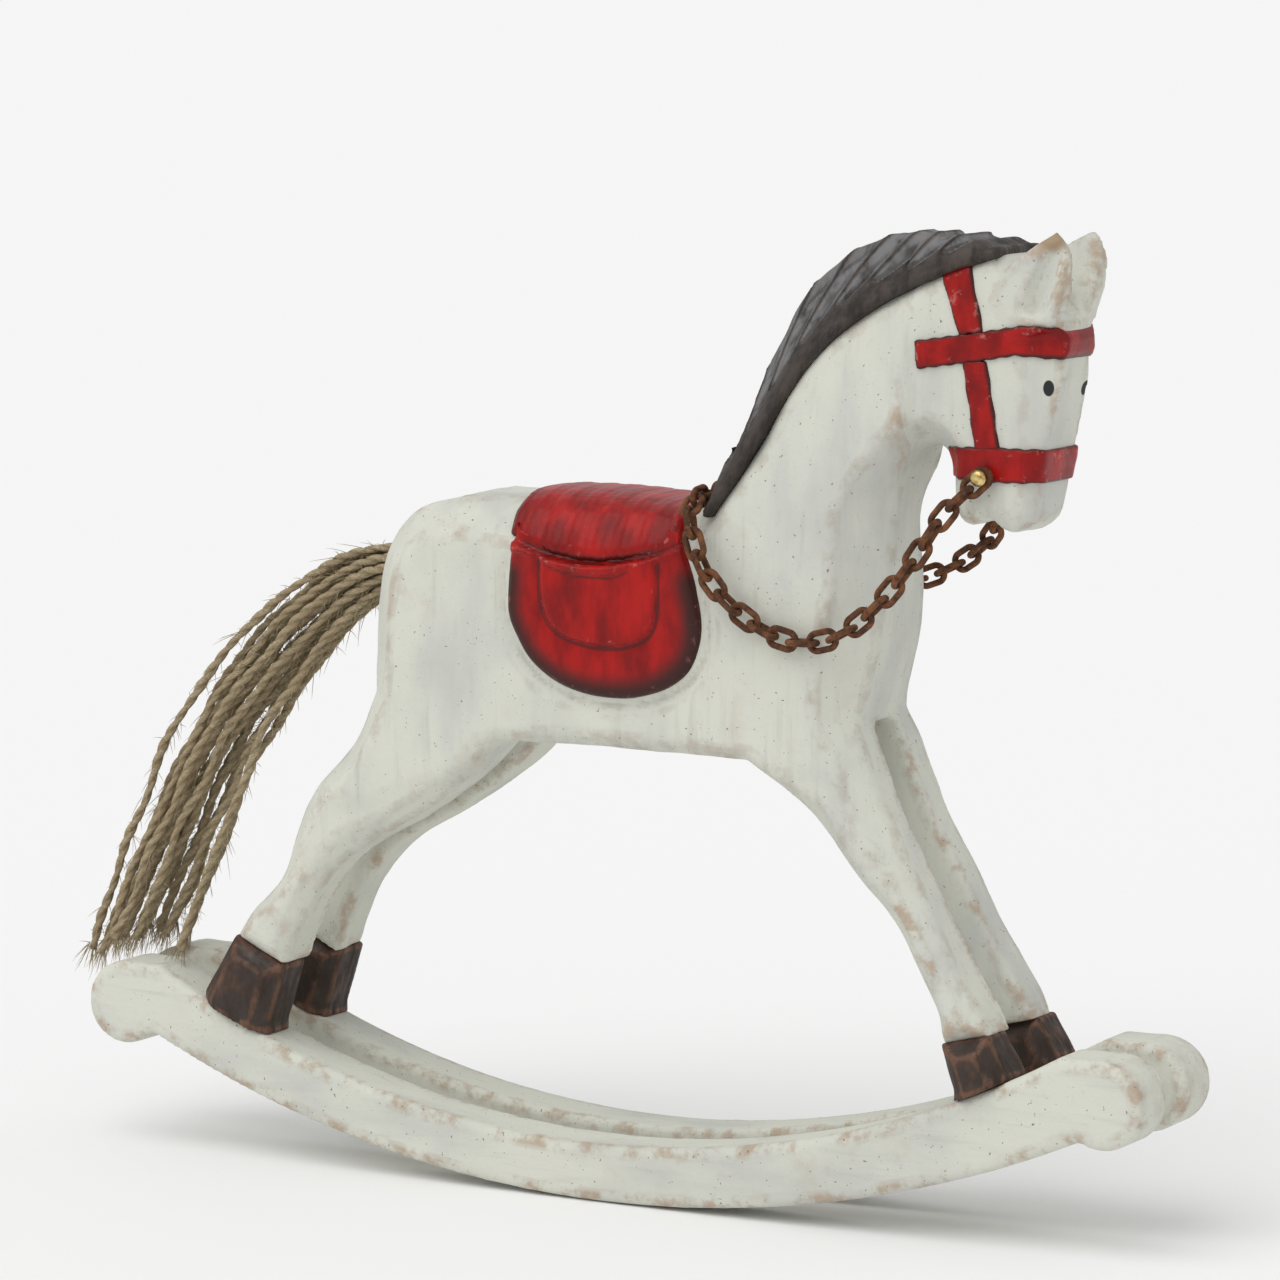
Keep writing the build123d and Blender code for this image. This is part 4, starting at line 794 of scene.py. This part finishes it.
seat_line = np.concatenate([through([(SEAT_REAR_X, SEAT_TOP - 0.9), (-12, SEAT_TOP), (2, SEAT_TOP - 0.2),
                                     (SEAT_FRONT_X, SEAT_TOP - 3)]), through(SEAT_EDGE)])
panel_line = through(PANEL_EDGE)
# lower edge of the thin skirt between seat and flap, which dips over the panel
skirt_line = through([(-20, 128.4), (-15, 127.2), (-9.6, 126.7), (-6, 125.2), (0, 123.8), (7, 123.8),
                      (10.6, 125.2), (12.8, 127.8), (16, 129.6), (28, 131)])


def seat_field(x, y, z):
    """A bar crowned along the back and rounded over the flanks, with fine vertical paring."""
    side = outside(seat_line, x, z)
    off = np.abs(y)
    arch = np.maximum(off - (HALF_BLOCK + SEAT_PROUD), z - SEAT_TOP)
    arch = soft_max(arch, (off - (HALF_BLOCK + SEAT_PROUD) + z - SEAT_TOP + 9.0) * BEVEL, 6.0)
    pad = soft_max(side, arch, 3.0)
    hollow = SEAT_BOTTOM - z
    paring = 0.09 * np.sin(2 * np.pi * x / 1.9 + 0.8 * np.sin(z / 2)) + 0.10 * np.sin(2 * np.pi * x / 5.3)
    return np.maximum(pad, hollow) + 0.15 + paring * 0.7


def flap_field(x, y, z):
    """A plate rounded at its rim, hollowed round a raised panel, with a thin skirt above it that
    passes under the seat; near side."""
    rim = outside(flap_line, x, z)
    panel = outside(panel_line, x, z)
    face = HALF_BLOCK + FLAP_THICKNESS + PANEL_THICKNESS * soft_step(-panel, -0.5, 0.5)
    face = face - GROOVE_DEPTH * np.exp(-((panel - 0.9) / 0.6)**2) + 0.3 * soft_step(-rim, 2.0, 5.0) - 0.3
    face = face + SKIRT_THICKNESS * soft_step(z - np.interp(x, skirt_line[:, 0], skirt_line[:, 1]), -0.25, 0.25)
    under_seat = -outside(seat_line, x, z)
    face = face + (HALF_BLOCK + UNDER_SEAT - face) * soft_step(under_seat, -0.4, 0.6)
    out = -y - face
    plate = soft_max(rim, out, 2.2)
    plate = np.maximum(plate, under_seat - FLAP_TUCK)
    return np.maximum(plate, y + HALF_BLOCK - FLAP_SUNK) + knife_marks(x, y, z, 8.0, 0.12)


RED_DEEP, RED_BRIGHT, RED_STREAK = (0.19, 0.004, 0.004, 1), (0.41, 0.008, 0.006, 1), (0.13, 0.006, 0.006, 1)
RIM_DARK, RED_CREASE_SHADE, RUBBED_PINK = (0.034, 0.014, 0.012, 1), (0.05, 0.009, 0.008, 1), (0.60, 0.27, 0.24, 1)


def red_paint(name, brushed):
    """Gloss red over brown-black: dark at rims, painted shade in the creases, pink where it is rubbed, and
    streaked the way it was brushed on."""
    material, tree, shader = finish_of(name, 0.33, Specular_IOR_Level=0.22)
    where = place_on(tree)
    cloud = noise(tree, where, 160.0, 5.0, 0.6, (1, 1, 0.5))
    streak = noise(tree, where, 600.0, 4.0, 0.6, brushed)
    chip = noise(tree, where, 420.0, 5.0, 0.7)
    sharp = marked(tree, "sharp")
    rim = marked(tree, "rim")
    colour = tint(tree, between(tree, cloud, 0.32, 0.68), RED_DEEP, RED_BRIGHT)
    colour = wash(tree, colour, RED_STREAK, 0.35, streak, 0.5, 0.8)
    edge = plus(tree, rim, times(tree, cloud, 0.5))
    colour = wash(tree, colour, RIM_DARK, 0.96, edge, 0.34, 1.2)
    # painted shade: the creases darkened to a near-black red
    colour = wash(tree, colour, RED_CREASE_SHADE, 0.7, sharp, -0.15, -0.4)
    rubbed = times(tree, between(tree, sharp, 0.14, 0.34), between(tree, chip, 0.56, 0.68))
    colour = tint(tree, times(tree, rubbed, 0.45), colour, RUBBED_PINK)
    coat(tree, shader, colour)
    rough_up(tree, shader, plus(tree, cloud, times(tree, streak, 0.5)), 0.00035, 0.7)
    return material


saddle_paint = red_paint("saddle_paint", (1, 1, 0.2))
saddle_seat = carved_piece("saddle_seat_pad", seat_field, (SEAT_REAR_X, -19.5, 123), (SEAT_FRONT_X, 19.5, 141),
                           SEAT_CELL, saddle_paint, "red_saddle", "saddle_seat")
x, y, z = points_of(saddle_seat)
lower_edge = soft_step(from_outline(seat_line, x, z), -2.6, -0.4) * soft_step(-z, -134, -130)
mark(saddle_seat, "rim", np.maximum(soft_step(-x, 14.5, 17.5), lower_edge))
flaps = both_sides("flap", flap_field, (-18, -20.2, 99), (27, -15, 132), FLAP_CELL, saddle_paint,
                   "red_saddle", "saddle_flap")
for flap in flaps:
    x, y, z = points_of(flap)
    mark(flap, "rim", soft_step(from_outline(flap_line, x, z), -7.2, 0.2) * soft_step(-z, -129, -122))

# ---------------------------------------------------------------- bridle
# Raised bands left round the head: browband, noseband and two pairs of cheek straps.
# The same red gloss, brushed on loosely, with dark outlines.
BROWBAND = [(66.8, 170.2), (80, 172.2), (90, 173.8), (95.6, 173.2), (97.6, 171.2), (97.8, 168.8),
            (95.6, 167.2), (88, 168), (80, 166.6), (67.4, 164.8)]
NOSEBAND = [(72.2, 150.4), (82, 150.8), (93.6, 150.6), (92.6, 144.2), (82, 144.0), (72.8, 144.6)]
UPPER_STRAP = [(72.4, 183.2), (78.6, 185.2), (81.4, 172), (76.2, 171.4)]
LOWER_STRAP = [(76.8, 167), (82, 167), (84.4, 150), (79.2, 150)]
STRAP_PROUD, STRAP_SUNK, STRAP_WOBBLE, STRAP_CELL = 0.85, 0.9, 0.12, 0.45
HEAD_SIDE_Y, FACE_X, OUTLINE_WIDTH = 12.5, 92, 1.1
strap_paint = red_paint("bridle_paint", (0.22, 0.22, 1))


def strap(name, outline, side, extra_proud, *nodes):
    """A skin over the head's own surface, cut to an outline of the side view; side -1 is the near
    half only, 1 the far half, and 0 goes all round."""
    line = np.array(outline, float)

    def field(x, y, z):
        head = wood(x, y, z)
        edge = outside(line, x, z)
        skin = np.maximum(head - STRAP_PROUD - extra_proud, -head - STRAP_SUNK)
        band = soft_max(skin, edge + STRAP_WOBBLE * np.sin(1.9 * x + 1.3 * z), 0.8)
        return band if side == 0 else np.maximum(band, -side * y)

    low = (line[:, 0].min() - 1, -HEAD_SIDE_Y if side <= 0 else 0, line[:, 1].min() - 1)
    high = (line[:, 0].max() + 1, HEAD_SIDE_Y if side >= 0 else 0, line[:, 1].max() + 1)
    piece = carved_piece(name, field, low, high, STRAP_CELL, strap_paint, "red_bridle", *nodes)
    x, y, z = points_of(piece)
    # a band has no dark outline down the face, where it goes round to the other side
    open_line = np.where(line[:, :1] > FACE_X, line + [8, 0], line)
    mark(piece, "rim", 0.85 * soft_step(from_outline(open_line, x, z), -OUTLINE_WIDTH, 0.0))


strap("browband_strap", BROWBAND, 0, 0.05, "browband")
strap("noseband_strap", NOSEBAND, 0, -0.1, "noseband")
for side, word in ((-1, "near"), (1, "far")):
    strap(word + "_upper_cheek", UPPER_STRAP, side, -0.1, word + "_upper_cheek_strap")
    strap(word + "_lower_cheek", LOWER_STRAP, side, -0.1, word + "_lower_cheek_strap")

# ---------------------------------------------------------------- hooves
# A block a little prouder than the leg it ends, its upright corners pared off and its sole cut to
# the rails. Dark brown, rubbed back to a coppery wood along the corners.
REAR_HOOF = [(-82.6, 45.6), (-70.8, 40.4), (-74.8, 28), (-74.8, 20), (-90, 20), (-90, 33.6)]
FRONT_HOOF = [(75.9, 38.1), (85.7, 40.5), (90.2, 33), (90.2, 20), (78.6, 20), (78.6, 29.6)]
HOOF_INSIDE, HOOF_OUTSIDE, HOOF_FACET, HOOF_CELL = 4.2, 18.1, 3.0, 0.5


def hoof_field(line):
    """Inside the side view, the two faces and the upright facets, and above the rails' arc."""
    def field(x, y, z):
        side = outside(line, x, z)
        off = np.abs(np.abs(y) - (HOOF_INSIDE + HOOF_OUTSIDE) / 2) - (HOOF_OUTSIDE - HOOF_INSIDE) / 2
        block = soft_max(soft_max(side, off, 0.6), (side + off + HOOF_FACET) * BEVEL, 0.5)
        sole = np.hypot(x, z - RAIL_DEPTH - RAIL_TOP_RADIUS) - RAIL_TOP_RADIUS
        return np.maximum(block, sole) + knife_marks(x, y, z, 7.0, 0.12)
    return field


HOOF_BROWN, HOOF_BLOOM, HOOF_COPPER = (0.030, 0.017, 0.011, 1), (0.10, 0.05, 0.03, 1), (0.17, 0.072, 0.036, 1)
hoof_paint = dark_paint("hoof_paint", HOOF_BROWN, HOOF_BLOOM, HOOF_COPPER, 0.75)
for leg, outline in (("rear", REAR_HOOF), ("front", FRONT_HOOF)):
    line = np.array(outline, float)
    for word, sides in (("near", (-19, -3.6)), ("far", (3.6, 19))):
        low = (line[:, 0].min(), sides[0], line[:, 1].min())
        high = (line[:, 0].max(), sides[1], line[:, 1].max())
        carved_piece(f"{word}_{leg}_hoof_block", hoof_field(line), low, high, HOOF_CELL, hoof_paint,
                     "brown_hoof", f"{word}_{leg}_hoof")

# ---------------------------------------------------------------- rein nails
# Brass escutcheon pins with domed heads, one each side of the muzzle, holding the first link.
BIT, STRAP_FACE_Y, NAIL_EXPOSED = (82.0, 145.2), 9.7, 3.2
NAIL_SIDES = 28
NAIL_PROFILE = [(0.0, -9.2), (0.65, -8.4), (0.65, 0.0), (1.4, 0.0), (1.6, 0.1), (1.55, 0.4), (1.3, 0.85),
                (0.9, 1.15), (0.4, 1.28), (0.0, 1.3)]
BRASS_YELLOW, BRASS_TARNISH = (0.80, 0.62, 0.26, 1), (0.36, 0.23, 0.08, 1)
brass, tree, shader = finish_of("brass", 0.28, Metallic=1.0)
where = place_on(tree)
tarnish = noise(tree, where, 900.0, 4.0, 0.6)
colour = tint(tree, between(tree, tarnish, 0.4, 0.68), BRASS_YELLOW, BRASS_TARNISH)
coat(tree, shader, colour)
rough_up(tree, shader, tarnish, 0.00012)


def turned(profile, sides, centre, way):
    """A profile of (radius, height) turned about the Y axis through centre, heights towards way."""
    radius, height = np.array(profile, float).T
    angle = np.linspace(0, 2 * np.pi, sides, endpoint=False)
    radius, height = radius[1:-1], height[1:-1]
    x = centre[0] + radius[:, None] * np.cos(angle)
    z = centre[2] + radius[:, None] * np.sin(angle)
    y = np.broadcast_to(centre[1] + way * height[:, None], x.shape)
    number = np.arange(x.size).reshape(x.shape)
    faces = walls(number) + fans(number[0], number[-1], x.size)
    if way > 0:
        faces = [face[::-1] for face in faces]
    ends = [(centre[0], centre[1] + way * profile[end][1], centre[2]) for end in (0, -1)]
    return np.concatenate([np.stack([x, y, z], -1).reshape(-1, 3), ends]), faces


for word, way in (("near", -1), ("far", 1)):
    points, faces = turned(NAIL_PROFILE, NAIL_SIDES, (BIT[0], way * (STRAP_FACE_Y + NAIL_EXPOSED), BIT[1]), way)
    plant(word + "_nail_pin", points, faces, brass, "brass_nail", word + "_rein_nail")

# ---------------------------------------------------------------- reins
# A small chain of oval steel-wire links, rusted brown all over. It hangs on the two nails and lies
# over the withers; the built links keep their own shape here.
RUST_BROWN, RUST_ORANGE, RUST_PIT = (0.070, 0.030, 0.016, 1), (0.235, 0.095, 0.038, 1), (0.030, 0.017, 0.012, 1)
rust, tree, shader = finish_of("rust", 0.8, Metallic=0.15, Specular_IOR_Level=0.3)
where = place_on(tree)
bloom = noise(tree, where, 420.0, 5.0, 0.65)
pit = noise(tree, where, 1800.0, 4.0, 0.7)
colour = tint(tree, between(tree, bloom, 0.34, 0.68), RUST_BROWN, RUST_ORANGE)
colour = wash(tree, colour, RUST_PIT, 0.7, pit, 0.5, 0.75)
coat(tree, shader, colour)
rough_up(tree, shader, plus(tree, bloom, pit), 0.0003)
dress("rein_chain", rust)

# ---------------------------------------------------------------- floor and light
# A plain pale floor, an even white sky and one soft lamp, high on the side that is seen.
FLOOR_HALF, FLOOR_Z, SKY_STRENGTH = 90, -0.0002, 0.66
LAMP_ENERGY, LAMP_ANGLE, LAMP_WAY = 1.25, 1.0, (0.15, 0.62, -0.9)
floor_paint, tree, shader = finish_of("floor", 0.9, Specular_IOR_Level=0.0)
shader.inputs["Base Color"].default_value = (0.93, 0.93, 0.93, 1)
floor_mesh = bpy.data.meshes.new("floor")
floor_corners = [(FLOOR_HALF * a, FLOOR_HALF * b, FLOOR_Z) for a, b in ((-1, -1), (1, -1), (1, 1), (-1, 1))]
floor_mesh.from_pydata(floor_corners, [], [(0, 1, 2, 3)])
floor_mesh.materials.append(floor_paint)
floor = bpy.data.objects.new("floor", floor_mesh)
bpy.context.collection.objects.link(floor)
world = bpy.data.worlds.new("sky")
bpy.context.scene.world = world
world.use_nodes = True
sky = world.node_tree.nodes["Background"]
sky.inputs["Color"].default_value = (1, 1, 1, 1)
sky.inputs["Strength"].default_value = SKY_STRENGTH
lamp = bpy.data.lights.new("soft_lamp", "SUN")
lamp.energy, lamp.angle = LAMP_ENERGY, LAMP_ANGLE
lamp_holder = bpy.data.objects.new("soft_lamp", lamp)
lamp_holder.rotation_mode = "QUATERNION"
lamp_holder.rotation_quaternion = Vector(LAMP_WAY).to_track_quat("-Z", "Y")
bpy.context.collection.objects.link(lamp_holder)
bpy.context.scene.view_settings.view_transform = "Standard"
